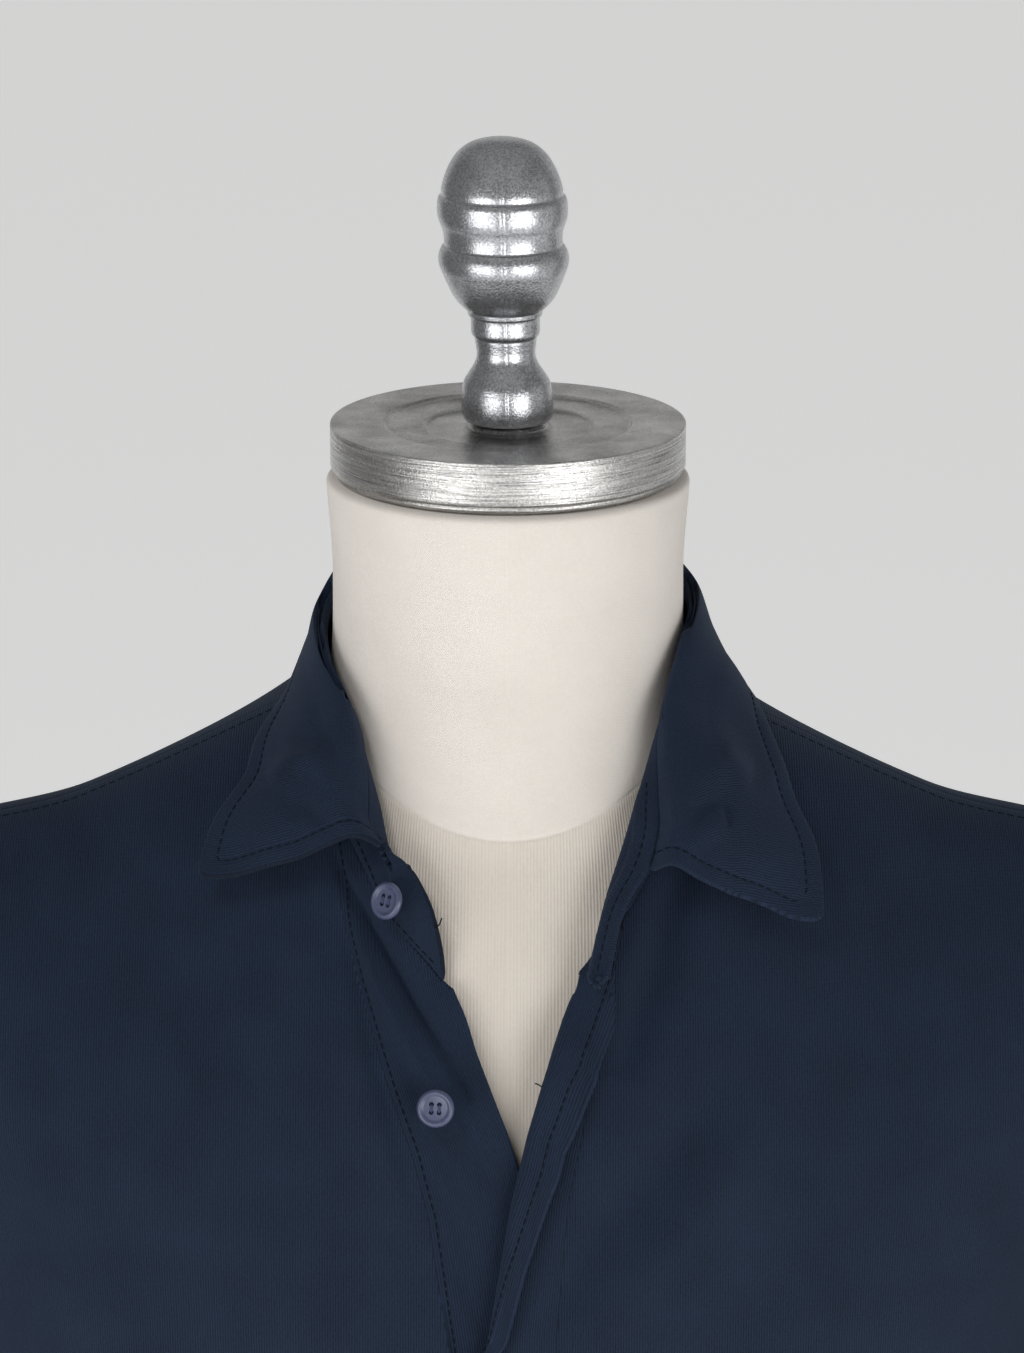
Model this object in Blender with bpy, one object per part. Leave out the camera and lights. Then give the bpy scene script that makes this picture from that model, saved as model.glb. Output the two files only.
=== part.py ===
"""Long-sleeved knitted polo shirt, worn by a limbless tailor's form on a low round stand.

All lengths in this file are millimetres until a mesh is made. Heights are measured from level 0, which is
NECK_RISE under the top of the form's neck, so nearly all of them are negative. NECK_TOP is how far level 0
is above the floor.
+X is the picture's right (the wearer's left), -Y is the front, +Z is up, and angles round the neck run
from the front (0) over +X (90) to the back (180).
"""

import math
from collections import namedtuple

import bpy
import numpy as np

MM = 0.001
NECK_TOP = 925.0

# ---------------------------------------------------------------- cloth and seams
JERSEY = 1.6  # body and sleeve wall
COLLAR_CLOTH = 2.0  # two layers with an interlining
PLACKET_CLOTH = 1.8
SEAM_GAP = 0.6  # between pieces that are sewn together
HEM_DROP = 762.0

# ---------------------------------------------------------------- rings of the form and of the shirt
# A ring's height is its drop below level 0 at the side, the front and the back, and front_fall and
# back_fall lower it further between these. half_width is its reach to the side, forward and backward its
# reach from the neck's axis.
Ring = namedtuple("Ring", "side front back half_width forward backward squareness front_fall back_fall")

FORM_RINGS = (
    Ring(-3.8, -3.8, -3.8, 59.5, 59.5, 59.5, 2.0, 0, 0),  # top of the neck, a little over level 0
    Ring(30, 34, 26, 57.5, 60, 57.5, 2.0, 0, 0),  # slimmest part of the neck
    Ring(71, 98, 52, 62, 75, 64, 2.0, 0, 0),  # foot of the neck
    Ring(109, 152, 97, 138, 97, 92, 2.0, 8, 22),  # half way along the shoulder
    Ring(135, 205, 160, 204, 118, 106, 2.1, 12, 20),  # shoulder point
    Ring(196, 258, 235, 203, 126, 112, 2.2, 0, 0),  # arm plate
    Ring(300, 310, 310, 170, 125, 108, 2.3, 0, 0),  # underarm
    Ring(470, 470, 470, 148, 106, 92, 2.3, 0, 0),  # waist
    Ring(680, 680, 680, 172, 114, 112, 2.3, 0, 0),  # seat
    Ring(792, 792, 792, 164, 108, 106, 2.3, 0, 0),  # lower edge
)

SHIRT_RINGS = (
    Ring(69, 144, 47, 66.5, 102, 69, 2.0, 0, 0),  # neck seam
    Ring(104, 168, 94, 141, 113, 98, 2.0, 8, 22),  # half way along the shoulder seam
    Ring(130, 222, 160, 210, 128, 113, 2.1, 12, 20),  # shoulder point
    Ring(194, 264, 238, 209, 135, 119, 2.2, 0, 0),  # middle of the armhole
    Ring(305, 318, 318, 182, 136, 119, 2.3, 0, 0),  # underarm
    Ring(470, 472, 472, 176, 130, 116, 2.3, 0, 0),  # waist
    Ring(HEM_DROP, HEM_DROP, HEM_DROP, 187, 130, 126, 2.3, 0, 0),  # hem
)
NECK, SHOULDER_POINT, ARMHOLE_MIDDLE, UNDERARM, HEM = 0, 2, 3, 4, 6  # stations

ARMHOLE_DEPTH_DEG = 24.0  # how far the armhole cuts into the front and the back
ARMHOLE_STEPS = 10  # rows down one side of the armhole, and half the points round a sleeve

# ---------------------------------------------------------------- front opening
BAND_WIDTH = 32.0
ROLL_RADIUS = 2.4
# Distance from the centre, at each height, of the under band's seam and free edge and of the upper band's
# seam, and how much of the upper band is rolled outwards there.
UNDER_SEAM = (
    (-95, -57), (-120, -53), (-137, -48.5), (-168, -38), (-187, -30.5), (-207, -25), (-248, -19), (-270, -16)
)
UNDER_EDGE = (
    (-120, -23.5), (-137, -17.6), (-157, -11), (-181, -1), (-190, 2.2), (-207, 6.5), (-248, 13), (-270, 16)
)
UPPER_SEAM = (
    (-95, 47), (-120, 37), (-130, 35), (-160, 26), (-181, 23.5), (-202, 19), (-245, 15.5), (-270, 16)
)
ROLLED = (
    (-120, 19.5), (-130, 20.3), (-160, 21), (-181, 17), (-202, 16.5), (-245, 12.6), (-262, 5), (-270, 0)
)
BAND_END_STATION = 3.75
BAND_END_GAP = 0.018  # in stations
# The upper end of the rolled band dips between its seam and its free edge: station by share of its width.
BAND_TOP_DIP = ((0.0, 0.0), (0.45, -0.08), (1.0, 0.24))
# how far the under band lies below the front's face, by station
UNDER_BAND_SUNK = ((0.0, 1.2, 1.8), (0.8, 1.4, 2.6))

# ---------------------------------------------------------------- folds of the worn front
# Each runs from its start to its end across the front (x, height), and fades at both ends.
# A positive rise is a ridge and a negative one a trough.
Fold = namedtuple("Fold", "x0 z0 x1 z1 width rise")
FRONT_FOLDS = (
    Fold(-60, -108, -6, -200, 5, -1.5),  # crease running down across the under band
    Fold(-76, -108, -22, -205, 9, 3.0),  # ridge outside that crease
    Fold(-120, -140, -34, -290, 24, 2.5),
    Fold(60, -128, 22, -250, 11, -1.5),  # hollow beside the rolled band
    Fold(92, -128, 34, -290, 20, 3.0),  # swell from the chest down to the band's end
    Fold(150, -170, 60, -330, 26, 2.0),
    Fold(170, -260, 60, -420, 26, 3.0),
    Fold(-172, -250, -70, -430, 24, 3.2),
    Fold(120, -420, 70, -700, 24, 3.5),
    Fold(-128, -400, -84, -690, 22, 3.8),
    Fold(20, -380, 34, -720, 30, -2.5),
    Fold(-30, -420, -20, -720, 26, 2.2),
)
BACK_FOLDS = (
    Fold(-150, -210, -60, -330, 26, 2.6),
    Fold(150, -220, 58, -350, 28, 2.4),
    Fold(-90, -330, -64, -690, 24, 3.6),
    Fold(84, -350, 96, -700, 26, 3.4),
    Fold(4, -400, -8, -720, 30, -2.4),
)

# ---------------------------------------------------------------- collar
# One row a section, from the picture's left end round the back to its right end.
# neck_angle places its foot on the neck seam; roll and top are points of the stand's middle surface.
StandSection = namedtuple("StandSection", "neck_angle roll top")
STAND_TOP_ROW = 1.87  # 1 is the roll and 2 the top, and the rest is left for the leaf's seam
STAND_SECTIONS = (
    StandSection(-18.5, (-25, -89, -115), (-32, -81, -103)),
    StandSection(-28, (-35, -84, -108), (-40, -80, -98)),
    StandSection(-36, (-39, -76, -100), (-45, -76, -93)),
    StandSection(-48, (-41.5, -67, -90), (-45.5, -69, -85)),
    StandSection(-62, (-47.5, -50, -76), (-47.5, -52, -71)),
    StandSection(-76, (-60, -22, -63), (-58, -23, -56)),
    StandSection(-90, (-62.5, 3, -56), (-60, 2, -47)),
    StandSection(-105, (-60, 18, -52), (-58, 16, -45)),
    StandSection(-122, (-54, 33, -47), (-52, 31, -39)),
    StandSection(-150, (-32, 56, -39), (-31, 53.5, -28)),
    StandSection(-180, (0, 65, -35), (0, 62, -22)),
    StandSection(-210, (32, 56, -39), (31, 53.5, -28)),
    StandSection(-238, (54, 33, -47), (52, 31, -38)),
    StandSection(-255, (60, 18, -51), (58, 16, -42)),
    StandSection(-270, (61.5, 3, -54), (60.5, 2, -44)),
    StandSection(-284, (58.5, -25, -60), (57.5, -27, -52)),
    StandSection(-299, (47.5, -50, -73), (49, -53, -69)),
    StandSection(-315, (43, -65, -86), (49, -69, -85)),
    StandSection(-320, (38, -75, -98), (49, -77, -93)),
    StandSection(-323.5, (34, -82, -108), (45, -87, -104)),
    StandSection(-325, (30, -89, -118), (37, -95, -115)),
    StandSection(-326, (27, -95, -125), (33, -101, -127)),
)
# The leaf's sections: seam to the stand, crest, middle and free edge, all on its middle surface.
LeafSection = namedtuple("LeafSection", "seam crest middle edge")
LEAF_SECTIONS = (
    LeafSection((-41, -81, -97), (-46, -82, -94), (-68, -80, -102), (-99, -73, -109)),
    LeafSection((-45, -76, -92), (-49, -76, -88), (-70, -71, -90), (-94, -60, -96)),
    LeafSection((-45.5, -69, -84), (-49, -68, -80), (-66, -61, -79), (-86, -45, -83)),
    LeafSection((-47.5, -52, -70), (-50.5, -51, -65), (-63, -45, -67), (-79, -26, -74)),
    LeafSection((-58, -23, -55), (-60, -22, -50), (-66, -16, -58), (-73, -8, -69)),
    LeafSection((-60, 2, -47), (-62, 2, -44), (-66, 5, -55), (-71, 9, -68)),
    LeafSection((-58, 16, -44), (-60, 17, -41.5), (-64, 20, -52), (-69, 24, -66)),
    LeafSection((-52, 31, -38), (-54, 32, -35), (-59, 36, -46), (-65, 42, -63)),
    LeafSection((-31, 53.5, -27), (-32, 56, -23), (-36, 63, -36), (-41, 71, -60)),
    LeafSection((0, 62, -21), (0, 65, -17), (0, 74, -31), (0, 82, -58)),
    LeafSection((31, 53.5, -27), (32, 56, -23), (36, 63, -36), (41, 71, -60)),
    LeafSection((52, 31, -37), (54, 32, -33.5), (60, 36, -45), (66, 42, -64)),
    LeafSection((58, 16, -41), (60, 17, -37.5), (66, 20, -51), (72, 24, -68)),
    LeafSection((60.5, 2, -43), (62, 2, -39), (68.5, 5, -54), (78, 7, -71)),
    LeafSection((57.5, -27, -51), (60, -26, -46), (71, -18, -55), (81, -8, -71)),
    LeafSection((49, -53, -68), (51.5, -52, -63), (66, -48, -69), (85, -28, -76)),
    LeafSection((49, -69, -84), (52, -69, -80), (71, -63, -80), (91, -49, -87)),
    LeafSection((49, -77, -92), (52, -79, -89), (74, -80, -99), (98, -66, -102)),
    LeafSection((46, -86, -102), (50, -88, -99), (72, -86, -111), (100, -83, -121)),
)

# ---------------------------------------------------------------- sleeves
# Highest and lowest point of each ring (x, height) on the picture's right, and its half depth.
SleeveRing = namedtuple("SleeveRing", "top_x top_z low_x low_z half_depth middle_y")
SLEEVE_RINGS = (
    SleeveRing(228, -136, 190, -304, 56, -4),
    SleeveRing(247, -152, 195, -309, 62, -4),
    SleeveRing(260, -182, 198, -319, 66, -5),
    SleeveRing(268, -228, 199, -334, 68, -6),
    SleeveRing(270, -296, 198, -360, 67, -7),
    SleeveRing(268, -375, 197, -402, 64, -8),
    SleeveRing(265, -475, 198, -480, 59, -11),
    SleeveRing(262, -590, 201, -590, 52, -16),
    SleeveRing(258, -700, 206, -700, 45, -22),
    SleeveRing(256, -757, 208, -757, 43, -25),
)
SLEEVE_GAP = 0.6

# ---------------------------------------------------------------- buttons
BUTTON_RADIUS = 6.0
BUTTON_RIM = 1.6
BUTTON_THICK = 2.6
BUTTON_DISH = 0.7
# centre on the shirt and the direction that its face looks
Button = namedtuple("Button", "name centre facing")
BUTTONS = (
    Button("button_stand", (-37.5, -91.5, -112.5), (-0.38, -0.86, 0.34)),
    Button("button_upper", (-22.5, -119.5, -174.0), (-0.14, -0.95, 0.28)),
    Button("button_lower", (0.0, -139.5, -277.0), (0.0, -0.998, 0.06)),
)

# ---------------------------------------------------------------- form, cap, finial and stand
CAP_RADIUS = 58.0
CAP_RIM = 20.3
NECK_RISE = 3.8  # the neck's top over level 0
# radius and height of the cap's upper face, from its rim to its centre
CAP_TOP_PROFILE = (
    (56.8, 21.3), (41.0, 21.3), (39.5, 20.1), (28.0, 20.1), (26.5, 19.1), (15.5, 19.1), (11.5, 21.3)
)
FINIAL_FOOT = 17.9
# radius and height above the finial's foot
FINIAL_PROFILE = (
    (12.6, 3.7), (14.8, 5.8), (15.0, 9.4), (14.2, 16.4), (10.8, 22.2), (9.6, 26.6), (10.3, 31.9), (11.2, 35.6),
    (12.2, 39.8), (14.4, 42.4), (18.0, 48.4), (20.6, 54.4), (21.1, 58.4), (19.4, 62.2), (19.6, 67.0),
    (21.1, 73.2), (20.4, 78.0), (19.0, 83.0), (15.4, 90.6), (9.6, 95.2),
)
FINIAL_TOP = 96.8
FINIAL_LEAN = -0.024  # the casting leans a little to the picture's left
POST_RADIUS = 17.0
BASE_RADIUS = 165.0
BASE_PROFILE = ((BASE_RADIUS, 0.0), (BASE_RADIUS, 6.0), (158.0, 11.0), (60.0, 19.0), (30.0, 26.0), (24.0, 34.0))
JOINT_GAP = 0.4

COLOURS = {
    "navy_jersey": ((0.017, 0.028, 0.048, 1), 0.85, 0.0),
    "form_cotton": ((0.66, 0.60, 0.52, 1), 0.9, 0.0),
    "cast_aluminium": ((0.42, 0.43, 0.45, 1), 0.35, 1.0),
    "button_resin": ((0.09, 0.10, 0.16, 1), 0.35, 0.0),
    "black_iron": ((0.03, 0.03, 0.032, 1), 0.5, 0.0),
}


# ================================================================ geometry helpers
def unit(vectors):
    """The vectors at length 1."""
    return vectors / np.maximum(np.linalg.norm(vectors, axis=-1, keepdims=True), 1e-9)


def loft(sections, stations):
    """Smooth rows between sections, which are (n, m, 3). stations is (rows,) or (rows, m) in section numbers."""
    sections = np.asarray(sections, float)
    count, columns = sections.shape[:2]
    stations = np.asarray(stations, float)
    if stations.ndim == 1:
        stations = np.repeat(stations[:, None], columns, axis=1)
    low = np.clip(np.floor(stations).astype(int), 0, count - 2)
    share = (stations - low)[..., None]
    column = np.arange(columns)[None, :]
    before, start, end, after = (sections[np.clip(low + step, 0, count - 1), column] for step in (-1, 0, 1, 2))

    def length(a, b):
        return np.maximum(np.linalg.norm(a - b, axis=-1, keepdims=True), 1e-6)

    span = length(start, end)
    slope = (end - start) / span
    first, last = (low == 0)[..., None], (low == count - 2)[..., None]
    span_before, span_after = length(before, start), length(end, after)
    slope_before = np.where(first, slope, (start - before) / span_before)
    slope_after = np.where(last, slope, (after - end) / span_after)
    leave = np.where(first, slope, (slope_before * span + slope * span_before) / (span + span_before))
    arrive = np.where(last, slope, (slope * span_after + slope_after * span) / (span + span_after))
    s2, s3 = share**2, share**3
    return (
        (2 * s3 - 3 * s2 + 1) * start
        + (s3 - 2 * s2 + share) * span * leave
        + (3 * s2 - 2 * s3) * end
        + (s3 - s2) * span * arrive
    )


def ring_points(ring, angle_deg):
    """Points of one ring at these angles."""
    angle = np.radians(angle_deg)
    sine, cosine = np.sin(angle), np.cos(angle)
    front = cosine > 0
    power = 2.0 / ring.squareness
    x = ring.half_width * np.sign(sine) * np.abs(sine) ** power
    y = -np.where(front, ring.forward, ring.backward) * np.sign(cosine) * np.abs(cosine) ** power
    drop = ring.side * sine**2 + np.where(front, ring.front, ring.back) * cosine**2
    drop = drop + np.where(front, ring.front_fall, ring.back_fall) * np.sin(2 * angle) ** 2
    return np.stack([x, y, -drop], axis=-1)


def body_surface(rings, angle_deg, station):
    """Point on the surface through the rings. angle_deg and station have the same shape."""
    angle_deg, station = np.broadcast_arrays(np.asarray(angle_deg, float), np.asarray(station, float))
    flat_angle, flat_station = angle_deg.ravel(), station.ravel()
    sections = np.stack([ring_points(ring, flat_angle) for ring in rings])
    return loft(sections, flat_station[None, :])[0].reshape(angle_deg.shape + (3,))


def fold_rise(folds, x, z):
    """How far the folds lift the cloth at each (x, height)."""
    total = np.zeros(np.shape(x))
    for fold in folds:
        along = np.array([fold.x1 - fold.x0, fold.z1 - fold.z0], float)
        length = np.linalg.norm(along)
        along /= length
        dx, dz = x - fold.x0, z - fold.z0
        travel = (dx * along[0] + dz * along[1]) / length
        aside = (dx * along[1] - dz * along[0]) / fold.width
        ends = np.clip(travel, 0, 1) * (1 - np.clip(travel, 0, 1)) * 4
        total = total + fold.rise * ends * np.exp(-(aside**2))
    return total


def shirt(angle_deg, station, lift=0.0):
    """Point of the shirt's outer surface, folds included, moved out by lift."""
    angle_deg, station = np.broadcast_arrays(np.asarray(angle_deg, float), np.asarray(station, float))
    step_deg, step_station = 0.2, 0.004
    inside = np.clip(station, NECK + step_station, HEM - step_station)
    point = body_surface(SHIRT_RINGS, angle_deg, station)
    across = body_surface(SHIRT_RINGS, angle_deg + step_deg, inside) - body_surface(
        SHIRT_RINGS, angle_deg - step_deg, inside
    )
    down = body_surface(SHIRT_RINGS, angle_deg, inside + step_station) - body_surface(
        SHIRT_RINGS, angle_deg, inside - step_station
    )
    outward = unit(np.cross(down, across))
    front = np.cos(np.radians(angle_deg)) > 0
    rise = np.where(
        front,
        fold_rise(FRONT_FOLDS, point[..., 0], point[..., 2]),
        fold_rise(BACK_FOLDS, point[..., 0], point[..., 2]),
    )
    return point + outward * (rise + lift)[..., None]


def angle_at(x, station):
    """Angle on the shirt's front whose point lies x from the centre, by halving."""
    x, station = np.broadcast_arrays(np.asarray(x, float), np.asarray(station, float))
    low, high = np.full(x.shape, -85.0), np.full(x.shape, 85.0)
    for _ in range(40):
        middle = (low + high) / 2
        beyond = body_surface(SHIRT_RINGS, middle, station)[..., 0] > x
        low, high = np.where(beyond, low, middle), np.where(beyond, middle, high)
    return (low + high) / 2


def at_height(line, height):
    """Value at these heights of one of the opening's lines."""
    heights, values = zip(*line[::-1])
    return np.interp(height, heights, values)


def opening_line(line, station):
    """Distance from the centre at which each row of the front meets one of the opening's lines."""
    x = np.zeros(np.shape(station))
    for _ in range(30):
        height = body_surface(SHIRT_RINGS, angle_at(x, station), station)[..., 2]
        x = (x + at_height(line, height)) / 2
    return x


def grid_normals(points, wrap=False):
    """Outward direction at each point of a (rows, columns, 3) grid."""
    if wrap:
        padded = np.concatenate([points[:, -1:], points, points[:, :1]], axis=1)
        across = (padded[:, 2:] - padded[:, :-2]) / 2
    else:
        across = np.gradient(points, axis=1)
    return unit(np.cross(np.gradient(points, axis=0), across))


# ================================================================ mesh helpers
def material(slot):
    found = bpy.data.materials.get(slot)
    if found:
        return found
    colour, roughness, metallic = COLOURS[slot]
    made = bpy.data.materials.new(slot)
    made.use_nodes = True
    shader = made.node_tree.nodes["Principled BSDF"]
    shader.inputs["Base Color"].default_value = colour
    shader.inputs["Roughness"].default_value = roughness
    shader.inputs["Metallic"].default_value = metallic
    made.diffuse_color = colour
    return made


def add_object(name, vertices, faces, slot):
    """A mesh object from points in millimetres, standing on the floor."""
    mesh = bpy.data.meshes.new(name)
    placed = (np.asarray(vertices, float) + (0, 0, NECK_TOP)) * MM
    mesh.from_pydata(placed.tolist(), [], faces)
    mesh.validate()
    mesh.materials.append(material(slot))
    mesh.shade_smooth()
    mesh.set_sharp_from_angle(angle=math.radians(50))
    made = bpy.data.objects.new(name, mesh)
    bpy.context.scene.collection.objects.link(made)
    return made


def wall(name, outer, inner, slot, keep=None, wrap=False):
    """A closed wall between two grids of points. keep marks the cells that are cloth; wrap joins the last column
    to the first."""
    rows, columns = outer.shape[:2]
    cell_columns = columns if wrap else columns - 1
    if keep is None:
        keep = np.ones((rows - 1, cell_columns), bool)
    offset = rows * columns

    def vertex(row, column, side):
        return row * columns + column % columns + side * offset

    faces, border = [], set()
    for row in range(rows - 1):
        for column in range(cell_columns):
            if not keep[row, column]:
                continue
            corners = ((row, column), (row + 1, column), (row + 1, column + 1), (row, column + 1))
            faces.append([vertex(*corner, 0) for corner in corners])
            faces.append([vertex(*corner, 1) for corner in reversed(corners)])
            for a, b in zip(corners, corners[1:] + corners[:1]):
                ends = (vertex(*a, 0), vertex(*b, 0))
                if ends[::-1] in border:
                    border.remove(ends[::-1])
                else:
                    border.add(ends)
    for a, b in sorted(border):
        faces.append([b, a, a + offset, b + offset])
    points = np.concatenate([outer.reshape(-1, 3), inner.reshape(-1, 3)])
    used = sorted({index for face in faces for index in face})
    place = {index: number for number, index in enumerate(used)}
    return add_object(name, points[used], [[place[index] for index in face] for face in faces], slot)


def middle_wall(name, grid, thickness, slot):
    """A wall whose middle surface is the grid."""
    outward = grid_normals(grid) * thickness / 2
    return wall(name, grid + outward, grid - outward, slot)


def turned(name, profile, slot, sides, low_pole=None, high_pole=None, z=0.0):
    """A solid turned about the Z axis. profile holds (radius, height) from its foot up, and a pole closes an end
    at that height."""
    turn = np.linspace(0, 2 * math.pi, sides, endpoint=False)
    points = [(r * math.cos(t), r * math.sin(t), h + z) for r, h in profile for t in turn]
    faces = []
    for row in range(len(profile) - 1):
        for i in range(sides):
            j = (i + 1) % sides
            faces.append([row * sides + i, row * sides + j, (row + 1) * sides + j, (row + 1) * sides + i])
    for height, row, ahead in ((low_pole, 0, False), (high_pole, len(profile) - 1, True)):
        ring = [row * sides + i for i in range(sides)]
        if height is None:
            faces.append(ring if ahead else ring[::-1])
            continue
        points.append((0.0, 0.0, height + z))
        pole = len(points) - 1
        for i in range(sides):
            pair = (ring[i], ring[(i + 1) % sides]) if ahead else (ring[(i + 1) % sides], ring[i])
            faces.append([*pair, pole])
    return add_object(name, points, faces, slot)


# ================================================================ shirt
def armhole_turns():
    """Angles down one side of the armhole, 0 at the shoulder point and pi at the underarm."""
    return np.linspace(0, math.pi, ARMHOLE_STEPS + 1)


def armhole_reach(station):
    """How many degrees the armhole takes out of a front or back half at each station."""
    inside = np.clip(1 - (ARMHOLE_MIDDLE - station) ** 2, 0, None)
    return ARMHOLE_DEPTH_DEG * np.sqrt(inside)


def body_stations():
    """Rows from the neck seam to the hem. Those beside the armhole meet the sleeve's points."""
    shoulder = np.linspace(NECK, SHOULDER_POINT, 8)[:-1]
    armhole = ARMHOLE_MIDDLE - np.cos(armhole_turns())
    skirt = np.linspace(UNDERARM, HEM, 10)[1:]
    return np.concatenate([shoulder, armhole, skirt])


def front_rows():
    """Stations of the front, with one of its rows at the end of the bands."""
    stations = body_stations()
    stations[np.argmin(np.abs(stations - BAND_END_STATION))] = BAND_END_STATION
    return stations


def make_front():
    stations = front_rows()
    half, bridge = 13, 3
    edge = 90 - 0.15 - armhole_reach(stations)
    closed = stations > BAND_END_STATION - 1e-6
    left = np.where(closed, -BAND_WIDTH / 2, opening_line(UNDER_SEAM, stations) - SEAM_GAP / 2)
    right = np.where(closed, BAND_WIDTH / 2, opening_line(UPPER_SEAM, stations) + SEAM_GAP / 2)
    left, right = angle_at(left, stations)[:, None], angle_at(right, stations)[:, None]
    edge = edge[:, None]
    crowd = (1 - (1 - np.linspace(0, 1, half + 1)) ** 1.25)[None, :]
    middle = np.linspace(0, 1, bridge + 1)[None, 1:-1]
    angles = np.concatenate(
        [
            -edge + (left + edge) * crowd,
            left + (right - left) * middle,
            (edge - (edge - right) * crowd)[:, ::-1],
        ],
        axis=1,
    )
    rows = np.repeat(stations[:, None], angles.shape[1], axis=1)
    keep = np.ones((len(stations) - 1, angles.shape[1] - 1), bool)
    keep[np.ix_(~closed[:-1], range(half, half + bridge))] = False
    return wall("front", shirt(angles, rows), shirt(angles, rows, -JERSEY), "navy_jersey", keep)


def make_back():
    stations = body_stations()
    reach = 90 + 0.15 + armhole_reach(stations)
    share = np.linspace(-1, 1, 25)
    angles = 180 + (180 - reach)[:, None] * share[None, :]
    rows = np.repeat(stations[:, None], angles.shape[1], axis=1)
    return wall("back", shirt(angles, rows), shirt(angles, rows, -JERSEY), "navy_jersey")


def make_sleeve(name, side):
    """side is 1 for the picture's right and -1 for its left."""
    turns = armhole_turns()
    station = ARMHOLE_MIDDLE - np.cos(turns)
    reach = ARMHOLE_DEPTH_DEG * np.sin(turns)
    front = shirt(90 - reach, station)
    rear = shirt(90 + reach, station)[-2:0:-1]
    first = np.concatenate([front, rear]) + (SLEEVE_GAP, 0, 0)
    turn = np.linspace(0, 2 * math.pi, 2 * ARMHOLE_STEPS, endpoint=False)
    sections = [first]
    for ring in SLEEVE_RINGS:
        centre = np.array([(ring.top_x + ring.low_x) / 2, ring.middle_y, (ring.top_z + ring.low_z) / 2])
        upright = np.array([(ring.top_x - ring.low_x) / 2, 0, (ring.top_z - ring.low_z) / 2])
        sections.append(
            centre
            + np.cos(turn)[:, None] * upright
            - np.sin(turn)[:, None] * np.array([0, ring.half_depth, 0])
        )
    stations = np.concatenate([np.linspace(0, 5, 10), np.linspace(5, len(SLEEVE_RINGS), 9)[1:]])
    grid = loft(sections, stations)
    grid = grid[:, ::-1]
    outer, inner = grid, grid - grid_normals(grid, wrap=True) * JERSEY
    if side < 0:
        outer, inner = (points[:, ::-1] * (-1, 1, 1) for points in (outer, inner))
    return wall(name, outer, inner, "navy_jersey", wrap=True)


def make_under_band():
    """The band that carries the buttons: from its seam to its free edge, under the other band."""
    stations = front_rows()
    stations = stations[stations <= BAND_END_STATION + 1e-6][:, None]
    share = np.linspace(0, 1, 7)
    start = opening_line(UNDER_SEAM, stations) + SEAM_GAP / 2
    across = start + (opening_line(UNDER_EDGE, stations) - start) * share
    rows = np.repeat(stations, len(share), axis=1)
    rows[-1] -= BAND_END_GAP
    lead = np.interp(stations, (2.2, 2.8), (0, 9))
    sunk = -np.interp(stations, *UNDER_BAND_SUNK) * np.clip((across - start + lead) / 9, 0, 1)
    surface = [shirt(angle_at(across, rows), rows, sunk - depth) for depth in (0, PLACKET_CLOTH)]
    return wall("under_band", *surface, "navy_jersey")


def rolled_section(length, rolled, travel):
    """Across the upper band at each travel from its seam: distance from the seam towards the picture's left and
    height over the shirt, for a band that lies flat and then turns back over itself."""
    straight = length - rolled
    turned_by = np.clip((travel - straight) / ROLL_RADIUS, 0, math.pi)
    beyond = np.clip(travel - straight - math.pi * ROLL_RADIUS, 0, None)
    across = np.minimum(travel, straight) + ROLL_RADIUS * np.sin(turned_by) - beyond
    height = ROLL_RADIUS * (1 - np.cos(turned_by)) + beyond * 0.1
    return across, height


def make_upper_band():
    """The band with the buttonholes. Its free edge is rolled outwards at the top and lies flat below."""
    stations = front_rows()
    stations = stations[stations <= BAND_END_STATION + 1e-6]
    share = np.concatenate(  # denser where the band bends over
        [np.linspace(0, 0.38, 4)[:-1], np.linspace(0.38, 0.7, 8)[:-1], np.linspace(0.7, 1, 4)]
    )
    dip = np.interp(share, *zip(*BAND_TOP_DIP))
    grid = []
    for number, station in enumerate(stations):
        seam = float(opening_line(UPPER_SEAM, station)) - SEAM_GAP / 2
        height = float(body_surface(SHIRT_RINGS, angle_at(seam, station), station)[2])
        rolled = float(at_height(ROLLED, height))
        across, rise = rolled_section(BAND_WIDTH - 1, rolled, share * (BAND_WIDTH - 1))
        row = station + dip * max(0.0, 1 - station / 1.6)
        if number == len(stations) - 1:
            row = row - BAND_END_GAP
        grid.append(shirt(angle_at(seam - across, row), row, rise - PLACKET_CLOTH / 2))
    return middle_wall("upper_band", np.array(grid)[:, ::-1], PLACKET_CLOTH, "navy_jersey")


def stand_foot(section):
    """The stand's foot, just clear of the neck seam's edge."""
    seam, below = (shirt(section.neck_angle, station, -JERSEY / 2) for station in (0.0, 0.04))
    above = unit(seam - below)
    upright = unit(np.array(section.roll) - seam)
    slant = math.sqrt(max(0.0, 1 - float(above @ upright) ** 2))
    return seam + above * (SEAM_GAP + 0.25 + COLLAR_CLOTH / 2 * slant)


def make_collar_stand():
    sections = np.array([(stand_foot(section), section.roll, section.top) for section in STAND_SECTIONS])
    around = np.linspace(0, len(sections) - 1, 2 * (len(sections) - 1) + 1)
    profile = loft(sections, around)
    grid = loft(profile.transpose(1, 0, 2), np.linspace(0, STAND_TOP_ROW, 6))
    return middle_wall("collar_stand", grid[::-1], COLLAR_CLOTH, "navy_jersey")


def make_leaf():
    sections = np.array(
        [(section.seam, section.crest, section.middle, section.edge) for section in LEAF_SECTIONS], float
    )
    around = np.linspace(0, len(sections) - 1, 2 * (len(sections) - 1) + 1)
    profile = loft(sections, around)
    grid = loft(profile.transpose(1, 0, 2), np.array([0.2, 0.55, 1, 1.35, 1.7, 2.1, 2.55, 3]))
    return middle_wall("collar_leaf", grid, COLLAR_CLOTH, "navy_jersey")


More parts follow.
